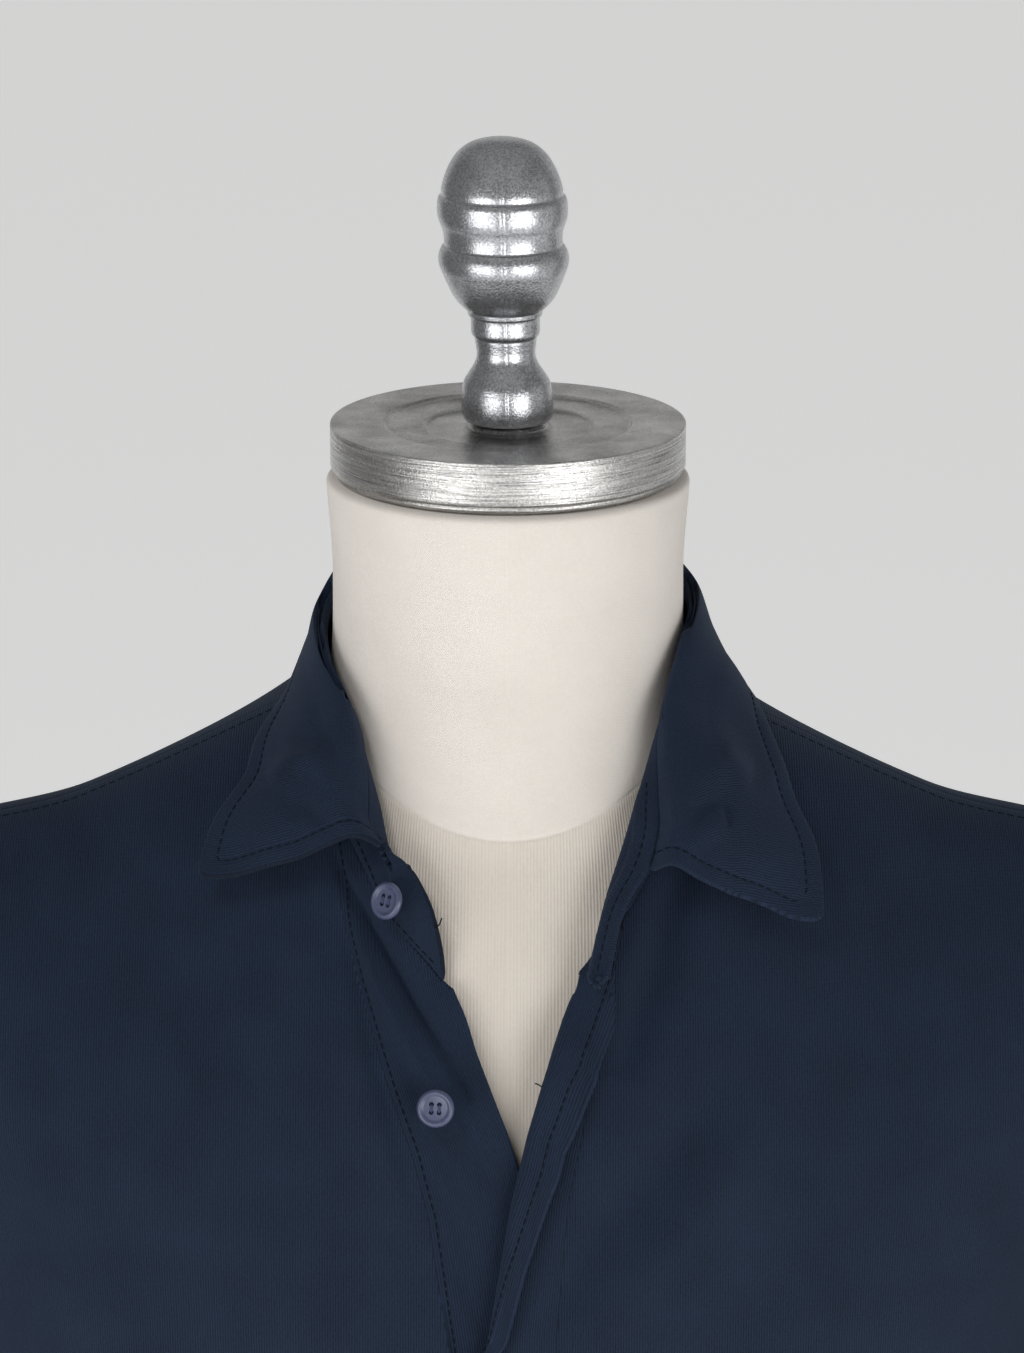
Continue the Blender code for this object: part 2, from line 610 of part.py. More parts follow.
def make_button(button):
    """A dished disc with a raised rim."""
    radius, dish_radius = BUTTON_RADIUS, BUTTON_RADIUS - BUTTON_RIM
    profile = (
        (radius - 0.9, 0.0),
        (radius, 0.9),
        (radius, BUTTON_THICK - 0.8),
        (radius - 0.7, BUTTON_THICK),
        (dish_radius + 0.2, BUTTON_THICK),
        (dish_radius - 0.5, BUTTON_THICK - BUTTON_DISH),
    )
    made = turned(button.name, profile, "button_resin", 18)
    facing = np.array(button.facing) / np.linalg.norm(button.facing)
    side = unit(np.cross((0, 0, 1.0), facing))
    up = np.cross(facing, side)
    turn = np.stack([side, up, facing], axis=1)
    for vertex in made.data.vertices:
        local = np.array(vertex.co) / MM - (0, 0, NECK_TOP)
        vertex.co = (turn @ local + button.centre + (0, 0, NECK_TOP)) * MM
    return made


# ================================================================ form and stand
def make_form():
    sides = 36
    angles = np.linspace(0, 360, sides, endpoint=False)
    stations = np.concatenate(
        [[0, 0.06, 0.5, 1, 1.35, 1.7], np.linspace(2, 6, 15), [6.4, 6.8, 7.2, 7.6, 8, 8.5, 8.93, 9]]
    )
    grid = np.array([body_surface(FORM_RINGS, angles, np.full(sides, station)) for station in stations])
    grid[0] = grid[0] * (0.96, 0.96, 1)
    grid[-1] = grid[-1] * (0.97, 0.97, 1)
    rows = len(stations)
    faces = [
        [row * sides + i, (row + 1) * sides + i, (row + 1) * sides + beside, row * sides + beside]
        for row in range(rows - 1)
        for i, beside in zip(range(sides), [*range(1, sides), 0])
    ]
    faces.append([i for i in range(sides)])
    faces.append([(rows - 1) * sides + i for i in range(sides)][::-1])
    return add_object("form_torso", grid.reshape(-1, 3), faces, "form_cotton")


def make_cap():
    profile = [
        (CAP_RADIUS - 2.4, NECK_RISE + JOINT_GAP),
        (CAP_RADIUS - 1.2, NECK_RISE + 1.6),
        (CAP_RADIUS - 1.2, NECK_RISE + 3.0),
        (CAP_RADIUS, NECK_RISE + 3.6),
        (CAP_RADIUS, CAP_RIM),
        *CAP_TOP_PROFILE,
    ]
    return turned("neck_cap", profile, "cast_aluminium", 40)


def make_finial():
    made = turned("finial", FINIAL_PROFILE, "cast_aluminium", 24, high_pole=FINIAL_TOP, z=FINIAL_FOOT)
    foot = (NECK_TOP + FINIAL_FOOT) * MM
    for vertex in made.data.vertices:
        vertex.co.x += max(0.0, vertex.co.z - foot) * FINIAL_LEAN
    return made


def make_base_and_post():
    base_top = BASE_PROFILE[-1][1]
    turned("base_plate", BASE_PROFILE, "black_iron", 36, z=-NECK_TOP)
    post = ((POST_RADIUS, base_top + JOINT_GAP), (POST_RADIUS, NECK_TOP - FORM_RINGS[-1].side - JOINT_GAP))
    turned("post", post, "black_iron", 20, z=-NECK_TOP)


def main():
    for old in list(bpy.data.objects):
        bpy.data.objects.remove(old, do_unlink=True)
    make_form()
    make_cap()
    make_finial()
    make_base_and_post()
    make_front()
    make_back()
    make_sleeve("sleeve_right", 1)
    make_sleeve("sleeve_left", -1)
    make_under_band()
    make_upper_band()
    make_collar_stand()
    make_leaf()
    for button in BUTTONS:
        make_button(button)


main()
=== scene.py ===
# %% [markdown]
# # A knitted polo shirt on a tailor's form
#
# A tailor's form is a firm padded torso without limbs. Shops and workrooms dress it to see how cloth hangs. This one
# has a cast metal cap and knob on its neck, and it wears a long-sleeved polo shirt in thin navy jersey, with its
# placket open. This file builds what can be seen of them around a plain solid model, which is loaded first. Each
# step says what a piece is on the real object, how it could be made, and why it is made this way.

# %% Load the plain model that everything is fitted to
import math
from collections import namedtuple

import bpy
import numpy as np
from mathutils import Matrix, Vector


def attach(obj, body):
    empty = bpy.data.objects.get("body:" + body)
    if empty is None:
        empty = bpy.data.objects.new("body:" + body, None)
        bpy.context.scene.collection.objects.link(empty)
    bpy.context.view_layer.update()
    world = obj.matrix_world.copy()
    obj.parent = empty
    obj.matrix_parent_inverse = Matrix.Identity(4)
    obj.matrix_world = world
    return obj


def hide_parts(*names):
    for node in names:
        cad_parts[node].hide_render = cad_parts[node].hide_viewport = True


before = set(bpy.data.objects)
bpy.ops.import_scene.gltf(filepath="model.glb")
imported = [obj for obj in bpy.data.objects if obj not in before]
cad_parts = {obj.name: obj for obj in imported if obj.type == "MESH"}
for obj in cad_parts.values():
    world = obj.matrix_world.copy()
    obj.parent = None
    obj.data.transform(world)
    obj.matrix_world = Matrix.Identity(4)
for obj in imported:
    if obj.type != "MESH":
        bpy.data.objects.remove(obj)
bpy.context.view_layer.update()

print("solids:", ", ".join(sorted(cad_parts)))

# %% [markdown]
# ## Units and the camera
#
# Cloth and buttons are measured in millimetres, so the shapes are too, and they are turned to metres when a mesh is
# made. Heights start at level 0, just under the top of the form's neck, because nearly everything hangs down from
# there. The camera stands a little above the collar and looks down at 16 degrees with a long lens, as a studio
# photographer does to keep the shoulders from bulging.

# %% Units and the camera
MM = 0.001
NECK_TOP = 925.0  # level 0, above the floor
NECK_RISE = 3.8  # the form's neck goes on this far over level 0

scene = bpy.context.scene
camera = bpy.data.objects.new("camera", bpy.data.cameras.new("camera"))
scene.collection.objects.link(camera)
scene.camera = camera
CAMERA_TILT = 16.4
camera.data.lens = 138.87
camera.data.clip_end = 60
camera.location = (0.0013, -1.654, NECK_TOP * MM + 0.4214)
camera.rotation_euler = (math.radians(90 - CAMERA_TILT), 0, 0)
print("camera:", tuple(round(c, 3) for c in camera.location))

# %% [markdown]
# ## Small helpers for materials
#
# Colours are easiest to judge as the hex values that a picture editor shows, so they are written that way and one
# function turns them into the linear values that a renderer needs. Another adds a shader node with its settings and
# links in one line, which keeps each recipe short enough to read as a recipe.

# %% Small helpers for materials
def linear(colour):
    """sRGB hex, such as "#1d2939", as linear red, green, blue and alpha."""
    parts = [int(colour[i : i + 2], 16) / 255 for i in (1, 3, 5)]
    return (*(c / 12.92 if c <= 0.04045 else ((c + 0.055) / 1.055) ** 2.4 for c in parts), 1.0)


def add(tree, kind, settings=None, **inputs):
    """Adds a node to the tree. An input that is a socket is linked, and any other is set as a value."""
    node = tree.nodes.new(kind)
    for name, value in (settings or {}).items():
        setattr(node, name, value)
    for name, value in inputs.items():
        key = int(name[1:]) if name[0] == "i" and name[1:].isdigit() else name.replace("_", " ")
        socket = node.inputs[key]
        if isinstance(value, bpy.types.NodeSocket):
            tree.links.new(value, socket)
        else:
            socket.default_value = value
    return node


def new_material(name, **surface):
    """A material with its own shader, set up with the values that are the same all over."""
    made = bpy.data.materials.new(name)
    made.use_nodes = True
    tree = made.node_tree
    tree.nodes.clear()
    shader = add(tree, "ShaderNodeBsdfPrincipled", **surface)
    output = add(tree, "ShaderNodeOutputMaterial")
    tree.links.new(shader.outputs[0], output.inputs[0])
    return made, tree, shader


def maths(tree, operation, a, b=0.0):
    """Result of one sum on two values or sockets."""
    return add(tree, "ShaderNodeMath", {"operation": operation}, i0=a, i1=b).outputs[0]


print("navy in linear light:", [round(c, 4) for c in linear("#1d2939")])

# %% [markdown]
# ## The shirt's surface
#
# A worn shirt touches the body at the shoulders and hangs clear below the chest. It could be simulated from flat
# panels, but the result would be hard to steer towards one photograph. Here a few rings round the body carry its
# shape: each says how far it reaches to the side, forward and backward, and how low it lies there. Smooth rows
# between the rings give a surface on which every piece of the shirt can be laid out. The form has rings of its own,
# a little inside them.

# %% Rings of the shirt and of the form
Ring = namedtuple("Ring", "side front back half_width forward backward squareness front_fall back_fall")

SHIRT_RINGS = (
    Ring(69, 144, 47, 66.5, 102, 69, 2.0, 0, 0),  # neck seam
    Ring(104, 168, 94, 141, 113, 98, 2.0, 8, 22),  # half way along the shoulder seam
    Ring(130, 222, 160, 210, 128, 113, 2.1, 12, 20),  # shoulder point
    Ring(194, 264, 238, 209, 135, 119, 2.2, 0, 0),  # middle of the armhole
    Ring(305, 318, 318, 182, 136, 119, 2.3, 0, 0),  # underarm
    Ring(470, 472, 472, 176, 130, 116, 2.3, 0, 0),  # waist
    Ring(762, 762, 762, 187, 130, 126, 2.3, 0, 0),  # hem
)
NECK, SHOULDER_POINT, ARMHOLE_MIDDLE, UNDERARM, HEM = 0, 2, 3, 4, 6

FORM_RINGS = (
    Ring(-NECK_RISE, -NECK_RISE, -NECK_RISE, 59.5, 59.5, 59.5, 2.0, 0, 0),  # top of the neck
    Ring(30, 34, 26, 57.5, 60, 57.5, 2.0, 0, 0),  # slimmest part of the neck
    Ring(71, 98, 52, 62, 75, 64, 2.0, 0, 0),  # foot of the neck
    Ring(109, 152, 97, 138, 97, 92, 2.0, 8, 22),  # half way along the shoulder
    Ring(135, 205, 160, 204, 118, 106, 2.1, 12, 20),  # shoulder point
    Ring(196, 258, 235, 203, 126, 112, 2.2, 0, 0),  # arm plate
    Ring(300, 310, 310, 170, 125, 108, 2.3, 0, 0),  # underarm
    Ring(470, 470, 470, 148, 106, 92, 2.3, 0, 0),  # waist
    Ring(680, 680, 680, 172, 114, 112, 2.3, 0, 0),  # seat
    Ring(792, 792, 792, 164, 108, 106, 2.3, 0, 0),  # lower edge
)


def unit(vectors):
    """The vectors at length 1."""
    return vectors / np.maximum(np.linalg.norm(vectors, axis=-1, keepdims=True), 1e-9)


def loft(sections, stations):
    """Smooth rows between sections: sections is (n, m, 3), stations is (rows,) or (rows, m) in section numbers."""
    sections = np.asarray(sections, float)
    count, columns = sections.shape[:2]
    stations = np.asarray(stations, float)
    if stations.ndim == 1:
        stations = np.repeat(stations[:, None], columns, axis=1)
    low = np.clip(np.floor(stations).astype(int), 0, count - 2)
    share = (stations - low)[..., None]
    column = np.arange(columns)[None, :]
    before, start, end, after = (sections[np.clip(low + step, 0, count - 1), column] for step in (-1, 0, 1, 2))

    def length(a, b):
        return np.maximum(np.linalg.norm(a - b, axis=-1, keepdims=True), 1e-6)

    span = length(start, end)
    slope = (end - start) / span
    first, last = (low == 0)[..., None], (low == count - 2)[..., None]
    span_before, span_after = length(before, start), length(end, after)
    slope_before = np.where(first, slope, (start - before) / span_before)
    slope_after = np.where(last, slope, (after - end) / span_after)
    leave = np.where(first, slope, (slope_before * span + slope * span_before) / (span + span_before))
    arrive = np.where(last, slope, (slope * span_after + slope_after * span) / (span + span_after))
    s2, s3 = share**2, share**3
    return (
        (2 * s3 - 3 * s2 + 1) * start
        + (s3 - 2 * s2 + share) * span * leave
        + (3 * s2 - 2 * s3) * end
        + (s3 - s2) * span * arrive
    )


def ring_points(ring, angle_deg):
    """Points of one ring. Angles run from the front (0) over +X (90) to the back (180)."""
    angle = np.radians(angle_deg)
    sine, cosine = np.sin(angle), np.cos(angle)
    front = cosine > 0
    power = 2.0 / ring.squareness
    x = ring.half_width * np.sign(sine) * np.abs(sine) ** power
    y = -np.where(front, ring.forward, ring.backward) * np.sign(cosine) * np.abs(cosine) ** power
    drop = ring.side * sine**2 + np.where(front, ring.front, ring.back) * cosine**2
    drop = drop + np.where(front, ring.front_fall, ring.back_fall) * np.sin(2 * angle) ** 2
    return np.stack([x, y, -drop], axis=-1)


def body_surface(rings, angle_deg, station):
    """Points on the surface through the rings. A station is a ring's number, or between two of them."""
    angle_deg, station = np.broadcast_arrays(np.asarray(angle_deg, float), np.asarray(station, float))
    sections = np.stack([ring_points(ring, angle_deg.ravel()) for ring in rings])
    return loft(sections, station.ravel()[None, :])[0].reshape(angle_deg.shape + (3,))


print("the shirt's chest half way down the armhole:", body_surface(SHIRT_RINGS, 0, 3).round(1))

# %% [markdown]
# ## Folds
#
# Thin jersey pulls into long soft folds where it hangs from a point, and here from the collar and from the open
# placket. Each fold is a line across the front with a width and a height, a ridge or a trough, which fades at its
# ends. The larger ones are in the plain model too, and the finer creases are only here.

# %% Folds
Fold = namedtuple("Fold", "x0 z0 x1 z1 width rise")
FRONT_FOLDS = (
    Fold(-120, -140, -34, -290, 24, 2.5),
    Fold(92, -128, 34, -290, 20, 3.0),  # swell from the chest down to the band's end
    Fold(150, -170, 60, -330, 26, 2.0),
    Fold(170, -260, 60, -420, 26, 3.0),
    Fold(-172, -250, -70, -430, 24, 3.2),
    Fold(120, -420, 70, -700, 24, 3.5),
    Fold(-128, -400, -84, -690, 22, 3.8),
    Fold(20, -380, 34, -720, 30, -2.5),
    Fold(-30, -420, -20, -720, 26, 2.2),
)
# A crease follows a bent path of (x, height) points and fades at its ends.
Crease = namedtuple("Crease", "path width rise")
FRONT_CREASES = (
    Crease(
        ((-57, -101), (-54, -110), (-47.5, -118), (-43.3, -125), (-39, -131), (-35, -137), (-31, -143), (-25, -151),
         (-19, -159), (-13, -170), (-7, -182)), 1.8, -2.5,
    ),
    Crease(((-58, -102), (-49, -116), (-43.3, -125), (-37, -134), (-29, -146), (-22, -156)), 1.4, -1.7),
    Crease(((-56, -104), (-47, -119), (-39, -131), (-30, -145), (-21, -157), (-12, -172)), 4.5, -0.9),
    Crease(((-55, -113), (-50, -124), (-45, -133), (-39, -144), (-32, -156), (-24, -168)), 2.8, 2.2),
    Crease(((-56, -108), (-53, -120), (-49.5, -132), (-46, -146), (-42, -162), (-36, -182), (-28, -206)), 2.8, -2.3),
    Crease(((-70, -112), (-57, -148), (-48, -172), (-36, -196), (-22, -222)), 7.0, 1.7),
    Crease(((-18, -160), (-13, -178), (-7, -196)), 2.5, -0.7),
    Crease(((72, -164), (52, -188), (34, -206), (22, -224), (9, -245)), 8.0, -2.2),
    Crease(((86, -176), (64, -200), (46, -220), (30, -240), (16, -262)), 10.0, 1.8),
    Crease(((44, -132), (36, -160), (28, -190)), 5.0, -1.2),
    Crease(((64, -90), (60, -98), (55, -112), (50, -128), (44, -146), (37, -166)), 6.5, -5.0),
)
BACK_FOLDS = (
    Fold(-150, -210, -60, -330, 26, 2.6),
    Fold(150, -220, 58, -350, 28, 2.4),
    Fold(-90, -330, -64, -690, 24, 3.6),
    Fold(84, -350, 96, -700, 26, 3.4),
    Fold(4, -400, -8, -720, 30, -2.4),
)


def fold_rise(folds, x, z):
    """How far the folds lift the cloth at each (x, height)."""
    total = np.zeros(np.shape(x))
    for fold in folds:
        along = np.array([fold.x1 - fold.x0, fold.z1 - fold.z0], float)
        length = np.linalg.norm(along)
        along /= length
        dx, dz = x - fold.x0, z - fold.z0
        travel = (dx * along[0] + dz * along[1]) / length
        aside = (dx * along[1] - dz * along[0]) / fold.width
        ends = np.clip(travel, 0, 1) * (1 - np.clip(travel, 0, 1)) * 4
        total = total + fold.rise * ends * np.exp(-(aside**2))
    return total


def crease_rise(creases, x, z):
    """How far the creases lift the cloth at each (x, height)."""
    total = np.zeros(np.shape(x))
    for crease in creases:
        path = np.array(crease.path, float)
        steps = np.diff(path, axis=0)
        lengths = np.linalg.norm(steps, axis=1)
        whole = lengths.sum()
        nearest, travel = np.full(np.shape(x), 1e9), np.zeros(np.shape(x))
        for start, step, length, run in zip(path, steps, lengths, np.cumsum(lengths) - lengths):
            share = np.clip(((x - start[0]) * step[0] + (z - start[1]) * step[1]) / length**2, 0, 1)
            apart = np.hypot(x - start[0] - share * step[0], z - start[1] - share * step[1])
            closer = apart < nearest
            nearest = np.where(closer, apart, nearest)
            travel = np.where(closer, (run + share * length) / whole, travel)
        total = total + crease.rise * np.sin(math.pi * travel) ** 0.7 * np.exp(-((nearest / crease.width) ** 2))
    return total


def shirt(angle_deg, station, lift=0.0):
    """Points of the shirt's outer surface, folds included, moved out by lift."""
    angle_deg, station = np.broadcast_arrays(np.asarray(angle_deg, float), np.asarray(station, float))
    step_deg, step_station = 0.2, 0.004
    inside = np.clip(station, NECK + step_station, HEM - step_station)
    point = body_surface(SHIRT_RINGS, angle_deg, station)
    across = body_surface(SHIRT_RINGS, angle_deg + step_deg, inside) - body_surface(
        SHIRT_RINGS, angle_deg - step_deg, inside
    )
    down = body_surface(SHIRT_RINGS, angle_deg, inside + step_station) - body_surface(
        SHIRT_RINGS, angle_deg, inside - step_station
    )
    outward = unit(np.cross(down, across))
    front = np.cos(np.radians(angle_deg)) > 0
    rise = np.where(
        front,
        fold_rise(FRONT_FOLDS, point[..., 0], point[..., 2])
        + crease_rise(FRONT_CREASES, point[..., 0], point[..., 2]),
        fold_rise(BACK_FOLDS, point[..., 0], point[..., 2]),
    )
    return point + outward * (rise + lift)[..., None]


print("folds:", len(FRONT_FOLDS), "broad and", len(FRONT_CREASES), "fine in front,", len(BACK_FOLDS), "behind")

# %% [markdown]
# ## The opening
#
# The placket's two bands are sewn to the front along lines that run from the neck seam to the placket's end. Worn
# open, they spread apart at the top. A line is kept as the distance from the centre at some heights, and the angle
# round the body at which the cloth lies that far out is found by halving, which is simple and never fails.

# %% The opening's lines
UNDER_SEAM = (
    (-95, -57), (-120, -53), (-137, -48.5), (-168, -38), (-187, -30.5), (-207, -25), (-248, -19), (-270, -16)
)
UNDER_EDGE = (
    (-120, -23.5), (-137, -17.6), (-157, -11), (-181, -1), (-190, 2.2), (-207, 6.5), (-248, 13), (-270, 16)
)
UPPER_SEAM = ((-95, 47), (-120, 37), (-130, 35), (-160, 26), (-181, 23.5), (-202, 19), (-245, 15.5), (-270, 16))
ROLLED = ((-120, 19.5), (-130, 20.3), (-160, 21), (-181, 17), (-202, 16.5), (-245, 12.6), (-262, 5), (-270, 0))
BAND_WIDTH = 32.0
BAND_END_STATION = 3.75


def angle_at(x, station):
    """Angle on the shirt's front whose point lies x from the centre, by halving."""
    x, station = np.broadcast_arrays(np.asarray(x, float), np.asarray(station, float))
    low, high = np.full(x.shape, -85.0), np.full(x.shape, 85.0)
    for _ in range(32):
        middle = (low + high) / 2
        beyond = body_surface(SHIRT_RINGS, middle, station)[..., 0] > x
        low, high = np.where(beyond, low, middle), np.where(beyond, middle, high)
    return (low + high) / 2


def at_height(line, height):
    """Value at these heights of one of the opening's lines."""
    heights, values = zip(*line[::-1])
    return np.interp(height, heights, values)


def opening_line(line, station):
    """Distance from the centre at which each row of the front meets one of the opening's lines."""
    x = np.zeros(np.shape(station))
    for _ in range(24):
        height = body_surface(SHIRT_RINGS, angle_at(x, station), station)[..., 2]
        x = (x + at_height(line, height)) / 2
    return x


print("the opening is", round(float(at_height(UPPER_SEAM, -120) - at_height(UNDER_SEAM, -120))), "mm wide at the top")

# %% [markdown]
# ## Turning a grid of points into cloth
#
# Cloth is a thin wall, and what makes it look like cloth and not like paper is its edge: a folded or sewn edge is
# round. A Solidify modifier would leave it square. So the wall is built directly, as an outer and an inner sheet
# that are joined along every border by a few strips bent to a half circle. Each point also keeps its place in the
# flat cloth, in millimetres, as a UV map, because knitted wales run with the cloth and not with the room.

# %% Cloth from a grid
def grid_normals(points, wrap=False):
    """Outward direction at each point of a (rows, columns, 3) grid."""
    if wrap:
        padded = np.concatenate([points[:, -1:], points, points[:, :1]], axis=1)
        across = (padded[:, 2:] - padded[:, :-2]) / 2
    else:
        across = np.gradient(points, axis=1)
    return unit(np.cross(np.gradient(points, axis=0), across))


def new_mesh(name, points_mm, faces, material, uv=None):
    """A mesh object that stands on the floor, from points in millimetres."""
    mesh = bpy.data.meshes.new(name)
    placed = (np.asarray(points_mm, float) + (0, 0, NECK_TOP)) * MM
    mesh.from_pydata(placed.tolist(), [], faces if isinstance(faces, list) else faces.tolist())
    if uv is not None:
        corner = np.zeros(len(mesh.loops), np.int32)
        mesh.loops.foreach_get("vertex_index", corner)
        mesh.uv_layers.new(name="cloth").uv.foreach_set("vector", np.asarray(uv, np.float32)[corner].ravel())
    mesh.materials.append(material)
    mesh.shade_smooth()
    made = bpy.data.objects.new(name, mesh)
    scene.collection.objects.link(made)
    return made


def cloth(name, outer, thickness, material, flat, keep=None, wrap=False, strips=3, wrap_flat=0.0):
    """A closed wall of cloth. outer is its outer surface as a (rows, columns, 3) grid, flat the same points in the
    flat cloth and keep marks the cells that are there. wrap joins the last column to the first."""
    inner = outer - grid_normals(outer, wrap) * thickness
    if wrap:  # a doubled column, so that the pattern doesn't run backwards over the last cell
        outer, inner, flat = (np.concatenate([g, g[:, :1]], axis=1) for g in (outer, inner, flat))
        flat[:, -1, 0] += wrap_flat
    rows, columns = outer.shape[:2]
    count = rows * columns
    index = np.arange(count).reshape(rows, columns)
    cells = np.stack([index[:-1, :-1], index[1:, :-1], index[1:, 1:], index[:-1, 1:]], axis=-1)
    cells = cells.reshape(-1, 4) if keep is None else cells[keep]
    start, end = cells.ravel(), np.roll(cells, -1, axis=1).ravel()
    if wrap:
        same = np.where(np.arange(count) % columns == columns - 1, np.arange(count) - columns + 1, np.arange(count))
    else:
        same = np.arange(count)
    key, back = same[start] * count + same[end], same[end] * count + same[start]
    border = ~np.isin(key, back)
    start, end = start[border], end[border]
    flat_outer, flat_inner = outer.reshape(-1, 3), inner.reshape(-1, 3)
    normal = unit(flat_outer - flat_inner)
    away = np.zeros((count, 3))
    beside = np.cross(unit(flat_outer[end] - flat_outer[start]), normal[start])
    np.add.at(away, same[start], beside)
    np.add.at(away, same[end], beside)
    away = unit(away)[same]
    rim = np.unique(np.concatenate([start, end]))
    place = np.full(count, -1)
    place[rim] = np.arange(len(rim))
    middle, half = (flat_outer + flat_inner) / 2, (flat_outer - flat_inner) / 2
    points, levels = [flat_outer, flat_inner], [lambda v: v]
    for step in range(1, strips + 1):
        turn = math.pi * step / (strips + 1)
        points.append(middle[rim] + half[rim] * math.cos(turn) + away[rim] * math.sin(turn) * thickness / 2)
        levels.append(lambda v, step=step: place[v] + 2 * count + (step - 1) * len(rim))
    levels.append(lambda v: v + count)
    faces = [cells, cells[:, ::-1] + count]
    for upper, lower in zip(levels, levels[1:]):
        faces.append(np.stack([upper(end), upper(start), lower(start), lower(end)], axis=-1))
    points, faces = np.concatenate(points), np.concatenate(faces)
    flat_points = flat.reshape(-1, 2)
    uv = np.concatenate([flat_points, flat_points, *[flat_points[rim]] * strips])
    used = np.unique(faces)
    renumber = np.full(len(points), -1)
    renumber[used] = np.arange(len(used))
    made = new_mesh(name, points[used], renumber[faces], material, uv[used])
    if wrap:
        merge_seam(made)
    return made


def merge_seam(piece):
    """Merges the doubled column of a piece that closes on itself. The UV map keeps its two sides."""
    weld = piece.modifiers.new("weld", "WELD")
    weld.merge_threshold = 1e-6
    apply_modifiers(piece)


def apply_modifiers(piece):
    """Replaces the piece's mesh by what its modifiers make of it."""
    graph = bpy.context.evaluated_depsgraph_get()
    mesh = bpy.data.meshes.new_from_object(piece.evaluated_get(graph), preserve_all_data_layers=True, depsgraph=graph)
    piece.modifiers.clear()
    piece.data = mesh
    mesh.name = piece.name


def run_lengths(points, axis):
    """Distance travelled along one axis of a grid of points, 0 at the start."""
    steps = np.linalg.norm(np.diff(points, axis=axis), axis=-1)
    return np.concatenate([np.zeros_like(np.take(steps, [0], axis=axis)), np.cumsum(steps, axis=axis)], axis=axis)


print("cloth helpers ready")

# %% [markdown]
# ## Navy jersey
#
# The cloth is a fine single jersey, cotton with some sheen: rows of tiny V-shaped loops whose columns, the wales,
# read as narrow upright lines. The real wales are about 0.7 mm apart. That is less than two pixels of the render
# and would shimmer, so they are drawn 0.85 mm apart. The lines come from sums on the UV map and go to both the
# colour and the bump; in the colour the grooves are painted darker than the loops, as painted shade. A little noise
# at two sizes gives the uneven yarn that keeps knitwear from looking printed, and a soft sheen lights the fibres
# that stand up at grazing angles.

# %% Navy jersey
WALE_MM = 0.85
COURSE_MM = 1.1


def knit_material(name, dark, light, sheen=0.1):
    """Jersey whose loops run up the UV map's second axis."""
    made, tree, shader = new_material(
        name, Roughness=0.85, Sheen_Weight=sheen, Sheen_Roughness=0.5, Sheen_Tint=linear("#8fa6c8"), IOR=1.4,
        Specular_IOR_Level=0.25,
    )
    uv = add(tree, "ShaderNodeUVMap", {"uv_map": "cloth"}).outputs[0]
    split = add(tree, "ShaderNodeSeparateXYZ", i0=uv)
    wale = maths(tree, "FRACT", maths(tree, "DIVIDE", split.outputs[0], WALE_MM))
    aside = maths(tree, "ABSOLUTE", maths(tree, "SUBTRACT", wale, 0.5))  # 0 in the middle of a loop
    leg = maths(tree, "ADD", maths(tree, "DIVIDE", split.outputs[1], COURSE_MM), maths(tree, "MULTIPLY", aside, 1.4))
    loop = maths(tree, "SINE", maths(tree, "MULTIPLY", leg, math.tau))
    groove = maths(tree, "SMOOTH_MIN", maths(tree, "MULTIPLY", maths(tree, "SUBTRACT", 0.5, aside), 3.2), 1.0)
    yarn = add(tree, "ShaderNodeTexNoise", {"noise_dimensions": "2D"}, Vector=uv, Scale=1.2, Detail=2.0)
    cloud = add(tree, "ShaderNodeTexNoise", {"noise_dimensions": "2D"}, Vector=uv, Scale=0.045, Detail=3.0)
    height = maths(tree, "ADD", groove, maths(tree, "MULTIPLY", loop, 0.16))
    height = maths(tree, "ADD", height, maths(tree, "MULTIPLY", yarn.outputs[0], 0.5))
    # Painted shade: the colour is darker in the grooves between the wales and lighter on the loops; the yarn and cloud
    # noise add the yarn's own uneven tone.
    tone = maths(tree, "ADD", maths(tree, "MULTIPLY", groove, 0.5), maths(tree, "MULTIPLY", yarn.outputs[0], 0.62))
    tone = maths(tree, "ADD", tone, maths(tree, "MULTIPLY", maths(tree, "SUBTRACT", cloud.outputs[0], 0.5), 0.35))
    colour = add(
        tree, "ShaderNodeMix", {"data_type": "RGBA", "clamp_factor": True}, i0=tone, i6=linear(dark), i7=linear(light)
    )
    tree.links.new(colour.outputs[2], shader.inputs["Base Color"])
    bump = add(tree, "ShaderNodeBump", Strength=0.7, Distance=0.00022, Height=height)
    tree.links.new(bump.outputs[0], shader.inputs["Normal"])
    return made


navy_jersey = knit_material("navy_cotton_jersey", "#03070e", "#1d293d")
print("material:", navy_jersey.name)

# %% [markdown]
# ## Front
#
# The front is one piece of jersey with a slot for the placket. Its grid runs from the neck seam to the hem and from
# one side seam to the other, with denser columns towards the opening, where the creases are. The bites at the two
# armholes come from moving each row's ends, and the slot from leaving cells out.

# %% Front
JERSEY = 1.6
SEAM_GAP = 0.5
ARMHOLE_DEPTH_DEG = 24.0


def armhole_reach(station):
    """How many degrees the armhole takes out of a front or back half at each station."""
    return ARMHOLE_DEPTH_DEG * np.sqrt(np.clip(1 - (ARMHOLE_MIDDLE - station) ** 2, 0, None))


def body_stations(shoulder_rows, armhole_rows, skirt_rows):
    """Rows from the neck seam to the hem."""
    shoulder = np.linspace(NECK, SHOULDER_POINT, shoulder_rows + 1)[:-1]
    armhole = ARMHOLE_MIDDLE - np.cos(np.linspace(0, math.pi, armhole_rows + 1))
    skirt = np.linspace(UNDERARM, HEM, skirt_rows + 1)[1:]
    return np.concatenate([shoulder, armhole, skirt])


